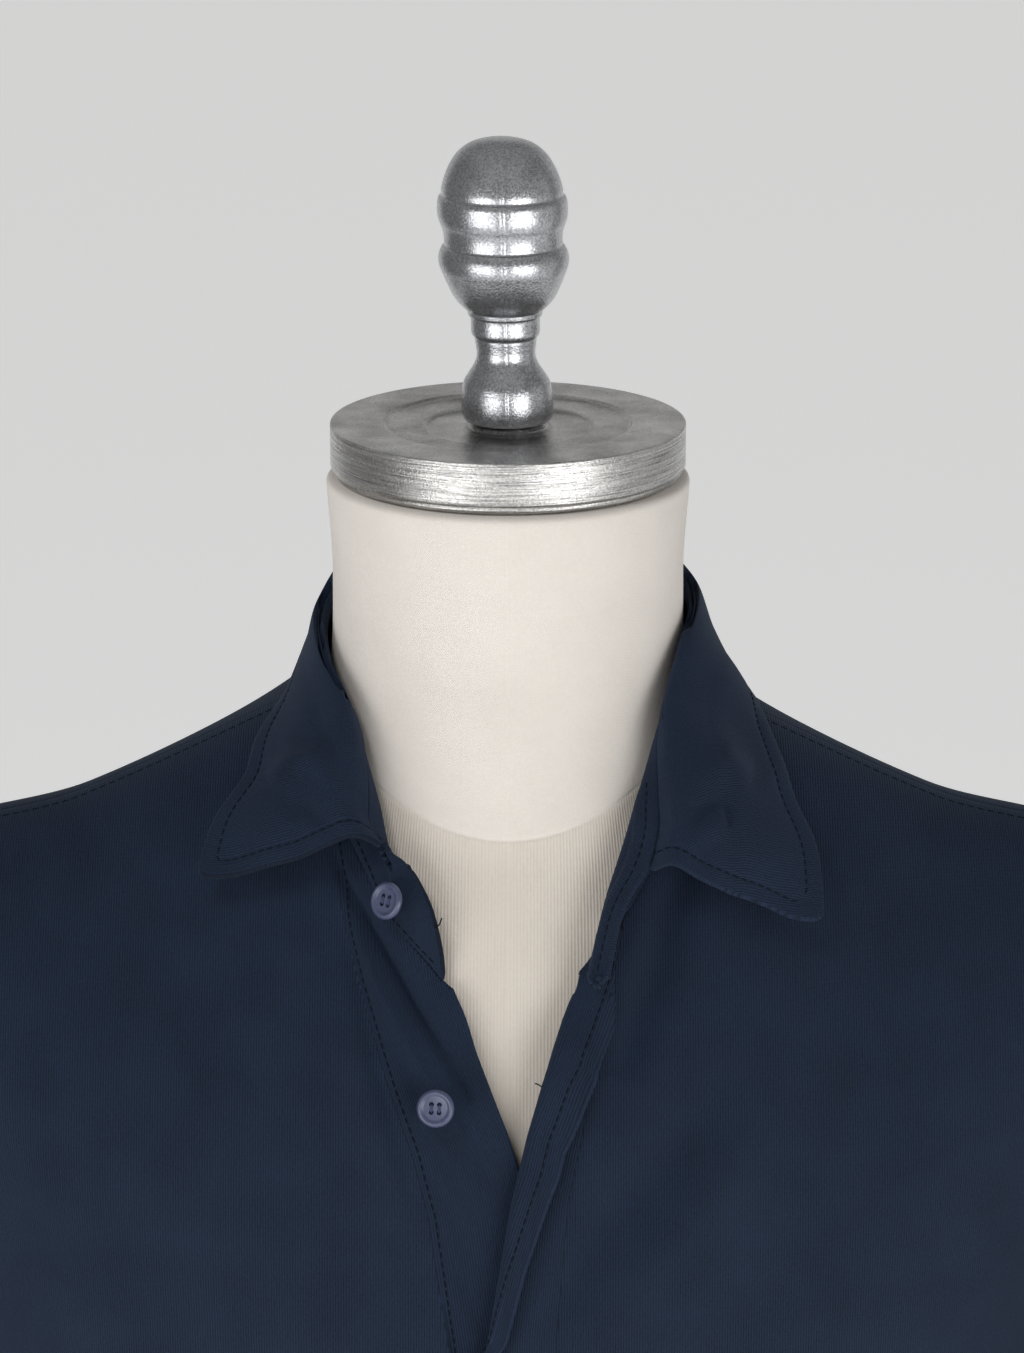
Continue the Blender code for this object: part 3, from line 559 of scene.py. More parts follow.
def body_flat(points, stations):
    """Place of a body piece's points in the flat cloth: the wales run straight up over the shoulder, and level with
    the chest they are spaced evenly round the body."""
    level = points.copy()
    level[..., 2] = 0
    middle = np.argmin(np.abs(points[:, :, 0].mean(axis=0)))
    around = run_lengths(level, 1)
    around = around - around[:, middle : middle + 1] + points[:, middle : middle + 1, 0]
    around *= np.sign(points[:, -1:, 0] - points[:, :1, 0])
    share = np.clip((stations - 2) / 1.5, 0, 1)
    share = (share * share * (3 - 2 * share))[:, None]
    u = points[..., 0] * (1 - share) + around * share
    upright = points.copy()
    upright[..., 0] = 0
    down = run_lengths(upright, 0)
    chest = np.argmin(np.abs(stations - 3.5))
    return np.stack([u, -(down - down[chest]) + points[chest, :, 2]], axis=-1)


front_stations = body_stations(90, 64, 90)
front_stations[np.argmin(np.abs(front_stations - BAND_END_STATION))] = BAND_END_STATION


def make_front():
    stations, half, bridge = front_stations, 74, 8
    edge = (90 - 0.15 - armhole_reach(stations))[:, None]
    closed = stations > BAND_END_STATION - 1e-6
    left = np.where(closed, -BAND_WIDTH / 2, opening_line(UNDER_SEAM, stations) - SEAM_GAP / 2)
    right = np.where(closed, BAND_WIDTH / 2, opening_line(UPPER_SEAM, stations) + SEAM_GAP / 2)
    left, right = angle_at(left, stations)[:, None], angle_at(right, stations)[:, None]
    crowd = (1 - (1 - np.linspace(0, 1, half + 1)) ** 1.25)[None, :]
    middle = np.linspace(0, 1, bridge + 1)[None, 1:-1]
    angles = np.concatenate(
        [-edge + (left + edge) * crowd, left + (right - left) * middle, (edge - (edge - right) * crowd)[:, ::-1]],
        axis=1,
    )
    points = shirt(angles, np.repeat(stations[:, None], angles.shape[1], axis=1))
    keep = np.ones((len(stations) - 1, angles.shape[1] - 1), bool)
    keep[np.ix_(~closed[:-1], range(half, half + bridge))] = False
    return points, cloth("shirt_front", points, JERSEY, navy_jersey, body_flat(points, stations), keep)


front_grid, shirt_front = make_front()
print("front:", len(shirt_front.data.polygons), "faces")

# %% [markdown]
# ## Back
#
# The back is cut whole, without a yoke, and hangs from the shoulder blades in a few long folds.

# %% Back
def make_back():
    stations = body_stations(40, 44, 84)
    reach = 90 + 0.15 + armhole_reach(stations)
    angles = 180 + (180 - reach)[:, None] * np.linspace(-1, 1, 121)[None, :]
    points = shirt(angles, np.repeat(stations[:, None], angles.shape[1], axis=1))
    return points, cloth("shirt_back", points, JERSEY, navy_jersey, body_flat(points, stations))


back_grid, shirt_back = make_back()
print("back:", len(shirt_back.data.polygons), "faces")

# %% [markdown]
# ## Sleeves
#
# An empty sleeve hangs flat and folds at the armhole. Its first ring is the armhole itself, and the others are
# flattened rings down to the cuff. The left sleeve is the right one mirrored, with its faces turned back outwards.

# %% Sleeves
SleeveRing = namedtuple("SleeveRing", "top_x top_z low_x low_z half_depth middle_y")
SLEEVE_RINGS = (
    SleeveRing(228, -136, 190, -304, 56, -4),
    SleeveRing(247, -152, 195, -309, 62, -4),
    SleeveRing(260, -182, 198, -319, 66, -5),
    SleeveRing(268, -228, 199, -334, 68, -6),
    SleeveRing(270, -296, 198, -360, 67, -7),
    SleeveRing(268, -375, 197, -402, 64, -8),
    SleeveRing(265, -475, 198, -480, 59, -11),
    SleeveRing(262, -590, 201, -590, 52, -16),
    SleeveRing(258, -700, 206, -700, 45, -22),
    SleeveRing(256, -757, 208, -757, 43, -25),
)
SLEEVE_GAP = 0.6


def make_sleeve(name, side):
    """side is 1 for the picture's right and -1 for its left."""
    half = 40
    turns = np.linspace(0, math.pi, half + 1)
    station = ARMHOLE_MIDDLE - np.cos(turns)
    reach = ARMHOLE_DEPTH_DEG * np.sin(turns)
    ahead, behind = shirt(90 - reach, station), shirt(90 + reach, station)
    sections = [np.concatenate([ahead, behind[-2:0:-1]]) + (SLEEVE_GAP, 0, 0)]
    turn = np.linspace(0, math.tau, 2 * half, endpoint=False)
    for ring in SLEEVE_RINGS:
        centre = np.array([(ring.top_x + ring.low_x) / 2, ring.middle_y, (ring.top_z + ring.low_z) / 2])
        upright = np.array([(ring.top_x - ring.low_x) / 2, 0, (ring.top_z - ring.low_z) / 2])
        sections.append(
            centre + np.cos(turn)[:, None] * upright - np.sin(turn)[:, None] * np.array([0, ring.half_depth, 0])
        )
    stations = np.concatenate([np.linspace(0, 5, 56), np.linspace(5, len(SLEEVE_RINGS), 100)[1:]])
    grid = loft(sections, stations)[:, ::-1]
    if side < 0:
        grid = grid[:, ::-1] * (-1, 1, 1)
    down, around = run_lengths(grid, 0), run_lengths(grid, 1)
    girth = around[:, -1:] + np.linalg.norm(grid[:, -1] - grid[:, 0], axis=-1)[:, None]
    widest = float(girth.max())
    flat = np.stack([around / girth * widest, -down], axis=-1)
    return grid, cloth(name, grid, JERSEY, navy_jersey, flat, wrap=True, wrap_flat=widest)


made_sleeves = [make_sleeve("shirt_sleeve_right", 1), make_sleeve("shirt_sleeve_left", -1)]
sleeve_grids, (sleeve_right, sleeve_left) = zip(*made_sleeves)
print("sleeves:", len(sleeve_right.data.polygons) + len(sleeve_left.data.polygons), "faces")

# %% [markdown]
# ## Placket bands
#
# Two straight strips, folded double, finish the slot. The under band carries the buttons and lies flat. The upper
# band has the buttonholes, and as it is worn its free edge has rolled outwards, so that its inner side shows. A
# rolled strip is a flat run, half a turn round a small radius and a run back over itself.

# %% Placket bands
PLACKET_CLOTH = 1.8
ROLL_RADIUS = 2.4
# How far the upper band's top drops, in stations, at each share of its width.
BAND_TOP_DIP = ((0.0, 0.02), (0.45, 0.01), (0.6, -0.01), (0.7, -0.01), (0.85, 0.08), (0.94, 0.22), (1.0, 0.44))
# How much the roll takes up of the band, which so looks narrower there.
BAND_NARROWER = (
    (-95, -3.5), (-125, -3.5), (-136, -2.0), (-148, -0.2), (-157, 1.6), (-167, 2.4), (-180, 0.6), (-192, 0.3),
    (-200, 1.2), (-222, 3.0), (-250, 3.0), (-268, 0.0),
)
UNDER_BAND_SUNK = ((0.0, 1.2, 1.8), (0.8, 1.4, 2.6))
BAND_END_GAP = 0.018  # in stations

band_stations = front_stations[front_stations <= BAND_END_STATION + 1e-6]


def edged(count, width, hem=4.6):
    """Shares across a strip, with rows close together at both edges and beside the stitching."""
    near = np.array([0, 0.5, 1.1, hem - 1.0, hem - 0.4, hem, hem + 0.4, hem + 1.0]) / width
    return np.concatenate([near, np.linspace(near[-1], 1 - near[-1], count)[1:-1], 1 - near[::-1]])


def stitched_groove(travel, lines, depth=0.35, width=0.55):
    """How far the stitching pulls the cloth in, at each distance across."""
    return -depth * sum(np.exp(-(((travel - line) / width) ** 2)) for line in lines)


# A nudge moves the cloth round a point by a vector, less and less out to its radius. It trims a worn garment's last
# small differences without a new section for each.
Nudge = namedtuple("Nudge", "centre move radius")


def nudged(points, nudges):
    for nudge in nudges:
        apart = np.linalg.norm(points - np.array(nudge.centre, float), axis=-1) / nudge.radius
        points = points + np.exp(-(apart**2))[..., None] * np.array(nudge.move, float)
    return points


UNDER_END_NUDGES = (Nudge((-22, -97, -134), (0.4, 1.2, -1.2), 11), Nudge((-17, -98, -139), (-1.6, 0, 0), 7))


def make_under_band():
    stations = band_stations[:, None]
    share = edged(44, BAND_WIDTH)
    start = opening_line(UNDER_SEAM, stations) + SEAM_GAP / 2
    width = opening_line(UNDER_EDGE, stations) - start
    across = start + width * share
    rows = np.repeat(stations, len(share), axis=1)
    rows[-1] -= BAND_END_GAP
    lead = np.interp(stations, (2.2, 2.8), (0, 9))
    sunk = -np.interp(stations, *UNDER_BAND_SUNK) * np.clip((across - start + lead) / 9, 0, 1)
    groove = stitched_groove(share * BAND_WIDTH, (2.0,))
    grid = nudged(shirt(angle_at(across, rows), rows, sunk + groove), UNDER_END_NUDGES)
    flat = np.stack([np.broadcast_to(share * BAND_WIDTH, rows.shape), -run_lengths(grid, 0)], axis=-1)
    return grid, cloth("shirt_under_band", grid, PLACKET_CLOTH, navy_jersey, flat)


def rolled_section(length, rolled, travel):
    """Across the upper band at each travel from its seam: distance from the seam towards the picture's left and
    height over the shirt, for a band that lies flat and then turns back over itself."""
    straight = length - rolled
    turned_by = np.clip((travel - straight) / ROLL_RADIUS, 0, math.pi)
    beyond = np.clip(travel - straight - math.pi * ROLL_RADIUS, 0, None)
    across = np.minimum(travel, straight) + ROLL_RADIUS * np.sin(turned_by) - beyond
    height = ROLL_RADIUS * (1 - np.cos(turned_by)) + beyond * 0.1
    return across, height


def make_upper_band():
    width = BAND_WIDTH - 1
    share = edged(26, width, hem=5.0)
    dip = np.interp(share, *zip(*BAND_TOP_DIP))
    seams = opening_line(UPPER_SEAM, band_stations) - SEAM_GAP / 2
    heights = body_surface(SHIRT_RINGS, angle_at(seams, band_stations), band_stations)[:, 2]
    narrower = at_height(BAND_NARROWER, heights)
    sections = [
        rolled_section(width - less, rolled - less, share * (width - less))
        for rolled, less in zip(at_height(ROLLED, heights), narrower)
    ]
    across, rise = (np.array(values) for values in zip(*sections))
    rise *= np.interp(band_stations, (0.0, 0.6), (0.4, 1.0))[:, None]
    rows = band_stations[:, None] + dip * np.clip(1 - band_stations / 1.6, 0, None)[:, None]
    rows[-1] -= BAND_END_GAP
    seams = opening_line(UPPER_SEAM, rows) - SEAM_GAP / 2
    grid = shirt(angle_at(seams - across, rows), rows, rise - PLACKET_CLOTH / 2)[:, ::-1]
    outer = grid + grid_normals(grid) * PLACKET_CLOTH / 2
    flat = np.stack([np.broadcast_to((share * width)[::-1], grid.shape[:2]), -run_lengths(grid, 0)], axis=-1)
    return outer, cloth("shirt_upper_band", outer, PLACKET_CLOTH, navy_jersey, flat)


under_grid, under_band = make_under_band()
upper_grid, upper_band = make_upper_band()
print("bands:", len(under_band.data.polygons) + len(upper_band.data.polygons), "faces")

# %% [markdown]
# ## Collar
#
# A shirt collar has two parts: a stand that rises from the neck seam, and a leaf that is sewn to the stand's top and
# falls over it. Both are set by sections round the neck, from the picture's left end round the back to the right
# end, because a worn collar is different all the way round: here it is pinched up on the right. Near the leaf's free
# edge its topstitching pulls in a shallow groove.

# %% Collar sections
COLLAR_CLOTH = 2.0
StandSection = namedtuple("StandSection", "neck_angle roll top")
STAND_SECTIONS = (
    StandSection(-18.5, (-25, -89, -115), (-32, -81, -103)),
    StandSection(-28, (-35, -84, -108), (-40, -80, -98)),
    StandSection(-36, (-39, -76, -100), (-45, -76, -93)),
    StandSection(-48, (-41.5, -67, -90), (-45.5, -69, -85)),
    StandSection(-62, (-47.5, -50, -76), (-47.5, -52, -71)),
    StandSection(-76, (-60, -22, -63), (-58, -23, -56)),
    StandSection(-90, (-62.5, 3, -56), (-60, 2, -47)),
    StandSection(-105, (-60, 18, -52), (-58, 16, -45)),
    StandSection(-122, (-54, 33, -47), (-52, 31, -39)),
    StandSection(-150, (-32, 56, -39), (-31, 53.5, -28)),
    StandSection(-180, (0, 65, -35), (0, 62, -22)),
    StandSection(-210, (32, 56, -39), (31, 53.5, -28)),
    StandSection(-238, (54, 33, -47), (52, 31, -38)),
    StandSection(-255, (60, 18, -51), (58, 16, -42)),
    StandSection(-270, (60.8, 3, -54), (60.1, 2, -44)),
    StandSection(-284, (56.2, -25, -60), (55.2, -26.5, -52)),
    StandSection(-299, (47.5, -50, -73), (49, -53, -69)),
    StandSection(-315, (43, -65, -86), (49, -69, -85)),
    StandSection(-320, (38, -75, -98), (49, -77, -93)),
    StandSection(-323.5, (34, -82, -108), (45, -87, -104)),
    StandSection(-325, (30, -89, -118), (37, -95, -115)),
    StandSection(-326, (27, -95, -125), (33, -101, -127)),
)
LeafSection = namedtuple("LeafSection", "seam crest middle edge")
LEAF_SECTIONS = (
    LeafSection((-41, -81, -97), (-46, -82, -94), (-68, -80, -102), (-99, -73, -109)),
    LeafSection((-45, -76, -92), (-49, -76, -88), (-70, -71, -90), (-94, -60, -96)),
    LeafSection((-45.5, -69, -84), (-49, -68, -80), (-66, -61, -79), (-86, -45, -83)),
    LeafSection((-47.5, -52, -70), (-50.5, -51, -65), (-63, -45, -67), (-79, -26, -74)),
    LeafSection((-58, -23, -55), (-60, -22, -50), (-66, -16, -58), (-73, -8, -69)),
    LeafSection((-60, 2, -47), (-62, 2, -44), (-66, 5, -55), (-71, 9, -68)),
    LeafSection((-58, 16, -44), (-60, 17, -41.5), (-64, 20, -52), (-69, 24, -66)),
    LeafSection((-52, 31, -38), (-54, 32, -35), (-59, 36, -46), (-65, 42, -63)),
    LeafSection((-31, 53.5, -27), (-32, 56, -23), (-36, 63, -36), (-41, 71, -60)),
    LeafSection((0, 62, -21), (0, 65, -17), (0, 74, -31), (0, 82, -58)),
    LeafSection((31, 53.5, -27), (32, 56, -23), (36, 63, -36), (41, 71, -60)),
    LeafSection((52, 31, -37), (54, 32, -33.5), (60, 36, -45), (66, 42, -64)),
    LeafSection((58, 16, -41), (60, 17, -37.5), (66, 20, -51), (72, 24, -68)),
    LeafSection((60.1, 2, -43), (60.9, 2, -39.3), (68.5, 5, -54), (78, 7, -71)),
    LeafSection((55.2, -26.5, -51), (56.4, -27, -46.5), (69.5, -19, -54), (81, -8, -71)),
    LeafSection((49, -53, -68), (50.6, -52.5, -63.5), (66, -48, -69), (85, -28, -76)),
    LeafSection((49, -69, -84), (52, -69, -80), (71, -63, -80), (91, -49, -87)),
    LeafSection((49, -77, -92), (52, -79, -89), (74, -80, -99), (98, -66, -102)),
    LeafSection((46, -86, -102), (50, -88, -99), (72, -86, -111), (100, -83, -121)),
)
print("collar sections:", len(STAND_SECTIONS), "for the stand and", len(LEAF_SECTIONS), "for the leaf")


# %% Collar stand and leaf
def stand_foot(section):
    """The stand's foot, just clear of the neck seam's edge."""
    seam, below = (shirt(section.neck_angle, station, -JERSEY / 2) for station in (0.0, 0.04))
    above = unit(seam - below)
    upright = unit(np.array(section.roll) - seam)
    slant = math.sqrt(max(0.0, 1 - float(above @ upright) ** 2))
    return seam + above * (SEAM_GAP + 0.25 + COLLAR_CLOTH / 2 * slant)


def round_corner(grid, row_end, column_end, radius):
    """Rounds one corner of a grid in its own surface. The ends are 0 or -1."""
    rows, columns = run_lengths(grid, 0), run_lengths(grid, 1)
    from_row = np.abs(rows - rows[[row_end]]) / radius
    from_column = np.abs(columns - columns[:, [column_end]]) / radius
    inward_row = unit(grid[[2 if row_end == 0 else -3]] - grid[[row_end]])
    inward_column = unit(grid[:, [2 if column_end == 0 else -3]] - grid[:, [column_end]])
    u, v = np.clip(1 - from_column, 0, 1), np.clip(1 - from_row, 0, 1)
    across = (u - u * np.sqrt(1 - v * v / 2)) * radius
    down = (v - v * np.sqrt(1 - u * u / 2)) * radius
    return grid + inward_column * across[..., None] + inward_row * down[..., None]


def shortened(grid, less):
    """The grid with its first row drawn back along the columns by this length."""
    travel = run_lengths(grid, 0)
    made = np.empty_like(grid)
    for column in range(grid.shape[1]):
        run = travel[:, column]
        wanted = less + run * (1 - less / run[-1])
        for axis in range(3):
            made[:, column, axis] = np.interp(wanted, run, grid[:, column, axis])
    return made


def through_sections(sections, down, around_steps):
    """A fine grid through a collar part's sections. down says where its rows lie, in section points."""
    profile = loft(sections, np.linspace(0, len(sections) - 1, around_steps))
    return loft(profile.transpose(1, 0, 2), down)


def collar_piece(name, grid):
    outer = grid + grid_normals(grid) * COLLAR_CLOTH / 2
    flat = np.stack([run_lengths(grid, 1), -run_lengths(grid, 0)], axis=-1)
    return cloth(name, outer, COLLAR_CLOTH, navy_jersey, flat)


# The stand's right end is finished with a folded strip, stitched along its middle, and its tip is round.
STRIP_WIDTH, STRIP_STITCH = 7.5, 3.7
STAND_SHORTER = 1.4  # leaves room for the leaf's round edge over the stand's
stand_sections = np.array([(stand_foot(section), section.roll, section.top) for section in STAND_SECTIONS])
stand_grid = through_sections(stand_sections, np.linspace(0, 2, 34)[::-1], 340)
STAND_NUDGES = UNDER_END_NUDGES + (
    Nudge((30, -97, -126), (-1.0, -7.0, -10.5), 10),
    Nudge((-38, -82, -118), (0.0, 0.0, -3.0), 9),
)
stand_grid = shortened(nudged(stand_grid, STAND_NUDGES), STAND_SHORTER)
from_top = run_lengths(stand_grid, 0)
near_tip = np.clip((np.linspace(0, 1, stand_grid.shape[1]) - 0.8) / 0.06, 0, 1)[None, :]
relief = 1.2 / (1 + np.exp((from_top - STRIP_WIDTH) / 0.35)) - 0.35 * np.exp(-(((from_top - STRIP_STITCH) / 0.6) ** 2))
stand_grid = stand_grid + grid_normals(stand_grid) * (relief * near_tip)[..., None]  # the inner face shows here
for row_end in (0, -1):
    stand_grid = round_corner(stand_grid, row_end, -1, 4.0)
stand_grid = round_corner(stand_grid, 0, 0, 5.0)
collar_stand = collar_piece("shirt_collar_stand", stand_grid)

LEAF_CREASES = (
    Crease(((-76, -84), (-68, -78), (-61, -76), (-55, -81), (-50, -89), (-45, -96)), 3.0, 3.6),
    Crease(((-63, -66), (-56, -70), (-50, -77), (-45, -88)), 3.0, -1.8),
    Crease(((-72, -90), (-64, -87), (-57, -91), (-53, -97)), 3.0, -2.0),
    Crease(((53, -93), (57, -89), (62, -86.5), (68, -85)), 1.9, -2.6),
    Crease(((50, -86), (58, -80), (70, -78), (78, -82)), 4.0, 2.6),
    Crease(((53, -99), (61, -93.5), (69, -91)), 3.2, 2.2),
    Crease(((67, -84), (69.5, -88), (70, -93)), 1.6, -1.6),
    Crease(((60, -56), (72, -66), (84, -84)), 5.0, -1.9),
)
LEAF_NUDGES = (
    Nudge((-88, -72, -109), (0, 0, -2.6), 11),
    Nudge((-86, -48, -86), (3.0, 0, 0), 12),
    Nudge((55, -86, -104), (0, 0, -3.4), 9),
    Nudge((62, -90, -112), (0, -3.5, 0), 14),
    Nudge((90, -81, -119), (0, 0, -2.6), 9),
    Nudge((88, -58, -92), (-1.8, 0, 0), 12),
)
LEAF_STITCH = 5.0
leaf_sections = np.array([(s.seam, s.crest, s.middle, s.edge) for s in LEAF_SECTIONS], float)
leaf_grid = through_sections(leaf_sections, np.linspace(0, 3, 56), 340)
leaf_grid = nudged(leaf_grid, LEAF_NUDGES)
falling = np.clip((np.linspace(0, 3, 56) - 1.15) / 0.6, 0, 1)[:, None]
in_front = np.clip((-leaf_grid[..., 1] - 20) / 30, 0, 1)
rise = crease_rise(LEAF_CREASES, leaf_grid[..., 0], leaf_grid[..., 2]) * falling * in_front
leaf_grid = leaf_grid - grid_normals(leaf_grid) * rise[..., None]  # its normals point under the leaf
for column_end in (0, -1):
    leaf_grid = round_corner(leaf_grid, -1, column_end, 3.5)
to_edge = run_lengths(leaf_grid, 0)[-1:] - run_lengths(leaf_grid, 0)
to_left = run_lengths(leaf_grid, 1)
to_right = to_left[:, -1:] - to_left
nearest_edge = np.minimum(np.minimum(to_edge, to_left), to_right)
pulled = 0.4 * np.exp(-(((nearest_edge - LEAF_STITCH) / 0.8) ** 2))
leaf_grid = leaf_grid + grid_normals(leaf_grid) * pulled[..., None]
collar_leaf = collar_piece("shirt_collar_leaf", leaf_grid)
print("collar:", len(collar_stand.data.polygons) + len(collar_leaf.data.polygons), "faces")

# %% [markdown]
# ## Pieces turned on a lathe
#
# The cap, the knob, the post, the base and the buttons are all turned shapes: one outline swept round an axis. That
# is a rule, so a Geometry Nodes tree makes them. It lays out a flat grid with one row for each point of the outline
# and one column for each step round, then moves every grid point to its place. The outline's corners are rounded
# first, because even a sharp machined edge catches a line of light.

# %% A tree that turns an outline
def new_tree(name, sockets):
    """An empty node tree with its named inputs, each with a type and a default."""
    tree = bpy.data.node_groups.new(name, "GeometryNodeTree")
    tree.interface.new_socket("Geometry", in_out="INPUT", socket_type="NodeSocketGeometry")
    for label, (kind, default) in sockets.items():
        made = tree.interface.new_socket(label, in_out="INPUT", socket_type=kind)
        if default is not None:
            made.default_value = default
    tree.interface.new_socket("Geometry", in_out="OUTPUT", socket_type="NodeSocketGeometry")
    return tree, tree.nodes.new("NodeGroupInput"), tree.nodes.new("NodeGroupOutput")


def run_tree(piece, tree, values):
    """Runs a tree on a piece with these inputs and leaves the plain mesh that it makes."""
    modifier = piece.modifiers.new(tree.name, "NODES")
    modifier.node_group = tree
    names = {item.name: item.identifier for item in tree.interface.items_tree if item.in_out == "INPUT"}
    for label, value in values.items():
        modifier[names[label]] = value
    apply_modifiers(piece)


def turning_tree():
    tree, given, result = new_tree(
        "turned_outline", {"Steps round": ("NodeSocketInt", 96), "Finish": ("NodeSocketMaterial", None)}
    )
    rows = add(tree, "GeometryNodeAttributeDomainSize", Geometry=given.outputs["Geometry"])
    count = rows.outputs["Point Count"]
    steps = given.outputs["Steps round"]
    columns = maths(tree, "ADD", steps, 1)
    grid = add(
        tree, "GeometryNodeMeshGrid", Size_X=steps, Size_Y=maths(tree, "SUBTRACT", count, 1), Vertices_X=columns,
        Vertices_Y=count,
    )
    place = add(tree, "ShaderNodeSeparateXYZ", i0=add(tree, "GeometryNodeInputPosition").outputs[0])
    half_width = maths(tree, "DIVIDE", steps, 2)
    half_height = maths(tree, "DIVIDE", maths(tree, "SUBTRACT", count, 1), 2)
    row = maths(tree, "ROUND", maths(tree, "ADD", place.outputs[1], half_height))
    turn = maths(tree, "DIVIDE", maths(tree, "ADD", place.outputs[0], half_width), steps)
    angle = maths(tree, "MULTIPLY", turn, math.tau)
    outline = add(
        tree, "GeometryNodeSampleIndex", {"data_type": "FLOAT_VECTOR"}, Geometry=given.outputs["Geometry"], Index=row,
        Value=add(tree, "GeometryNodeInputPosition").outputs[0],
    )
    point = add(tree, "ShaderNodeSeparateXYZ", i0=outline.outputs[0])
    swept = add(
        tree, "ShaderNodeCombineXYZ", X=maths(tree, "MULTIPLY", point.outputs[0], maths(tree, "COSINE", angle)),
        Y=maths(tree, "MULTIPLY", point.outputs[0], maths(tree, "SINE", angle)), Z=point.outputs[2],
    )
    moved = add(tree, "GeometryNodeSetPosition", Geometry=grid.outputs["Mesh"], Position=swept.outputs[0])
    closed = add(tree, "GeometryNodeMergeByDistance", Geometry=moved.outputs[0], Distance=2e-6)
    real = add(tree, "GeometryNodeRealizeInstances", Geometry=closed.outputs[0])
    finish = add(tree, "GeometryNodeSetMaterial", Geometry=real.outputs[0], Material=given.outputs["Finish"])
    tree.links.new(finish.outputs[0], result.inputs[0])
    return tree


turning = turning_tree()


def rounded(outline, radius, steps=4):
    """The outline with each inner corner replaced by a small arc-like curve."""
    outline = [np.array(point, float) for point in outline]
    points = [outline[0]]
    for before, corner, after in zip(outline, outline[1:], outline[2:]):
        back, ahead = before - corner, after - corner
        reach = min(radius, np.linalg.norm(back) * 0.45, np.linalg.norm(ahead) * 0.45)
        start, end = corner + unit(back) * reach, corner + unit(ahead) * reach
        for t in np.linspace(0, 1, steps):
            points.append((1 - t) ** 2 * start + 2 * t * (1 - t) * corner + t**2 * end)
    return np.array(points + [outline[-1]])


def turned(name, outline, height, material, steps_round=96):
    """A closed solid turned from an outline of (radius, height) that starts and ends on the axis."""
    points = [(r * MM, 0, (h + height) * MM) for r, h in outline]
    mesh = bpy.data.meshes.new(name)
    mesh.from_pydata(points, [(i, i + 1) for i in range(len(points) - 1)], [])
    piece = bpy.data.objects.new(name, mesh)
    scene.collection.objects.link(piece)
    run_tree(piece, turning, {"Steps round": steps_round, "Finish": material})
    piece.data.shade_smooth()
    return piece


print("turning tree:", len(turning.nodes), "nodes")

# %% [markdown]
# ## Cast aluminium
#
# The cap and the knob are sand-cast aluminium. The knob is tumbled bright, with the fine orange-peel of the mould
# left in its skin, and the cap's side is brushed round. Aluminium is a metal, so its colour is that of its
# reflections, a light cool grey, and nearly everything that the eye reads comes from roughness and bump.

# %% Cast aluminium
def cast_material(name, colour, roughness, grain_mm, depth_mm, brushed=0.0):
    made, tree, shader = new_material(name, Metallic=1.0)
    place = add(tree, "ShaderNodeTexCoord").outputs["Object"]
    grain = add(tree, "ShaderNodeTexNoise", Vector=place, Scale=1000 / grain_mm, Detail=3.0, Roughness=0.7)
    patch = add(tree, "ShaderNodeTexNoise", Vector=place, Scale=90.0, Detail=4.0)
    worn = add(tree, "ShaderNodeMapRange", Value=patch.outputs[0])
    worn.inputs[1].default_value, worn.inputs[2].default_value = 0.3, 0.7
    worn.inputs[3].default_value, worn.inputs[4].default_value = roughness * 0.8, roughness * 1.2
    tree.links.new(worn.outputs[0], shader.inputs["Roughness"])
    height, shade = grain.outputs[0], grain.outputs[0]
    if brushed:  # long thin scratches round the side, which fade on the level top
        layers = []
        for along, up in ((60, 2100), (26, 1300)):
            across = add(tree, "ShaderNodeMapping", Vector=place, Location=(up, along, 3.3), Scale=(along, along, up))
            streak = add(tree, "ShaderNodeTexNoise", Vector=across.outputs[0], Scale=1.0, Detail=2.5, Roughness=0.6)
            layers.append(streak.outputs[0])
        lines = maths(tree, "MULTIPLY", maths(tree, "ADD", *layers), 0.5)
        height = maths(tree, "ADD", height, maths(tree, "MULTIPLY", lines, brushed * 1.3))
        shade = maths(tree, "ADD", maths(tree, "MULTIPLY", shade, 0.3), maths(tree, "MULTIPLY", lines, 0.7))
    contrast = add(tree, "ShaderNodeMapRange", Value=shade)
    contrast.inputs[1].default_value, contrast.inputs[2].default_value = 0.36, 0.64
    tone = add(
        tree, "ShaderNodeMix", {"data_type": "RGBA"}, i0=contrast.outputs[0], i6=linear(colour[0]), i7=linear(colour[1])
    )
    tree.links.new(tone.outputs[2], shader.inputs["Base Color"])
    bump = add(tree, "ShaderNodeBump", Strength=1.0, Distance=depth_mm * MM, Height=height)
    tree.links.new(bump.outputs[0], shader.inputs["Normal"])
    return made


knob_metal = cast_material("tumbled_cast_aluminium", ("#94959a", "#c9cacd"), 0.17, 0.75, 0.11)
cap_metal = cast_material("brushed_cast_aluminium", ("#7d7c7a", "#e2e1df"), 0.26, 0.8, 0.16, brushed=1.9)
print("materials:", knob_metal.name, cap_metal.name)

# %% [markdown]
# ## Neck cap and knob
#
# The cap is a thick disc with a lip that sits on the neck, and its top steps down twice towards the middle. The knob
# screws into it and is a finger-shaped casting with two swollen rings. Its halves met on a mould line, which was
# never quite filed away and runs up its front and back.

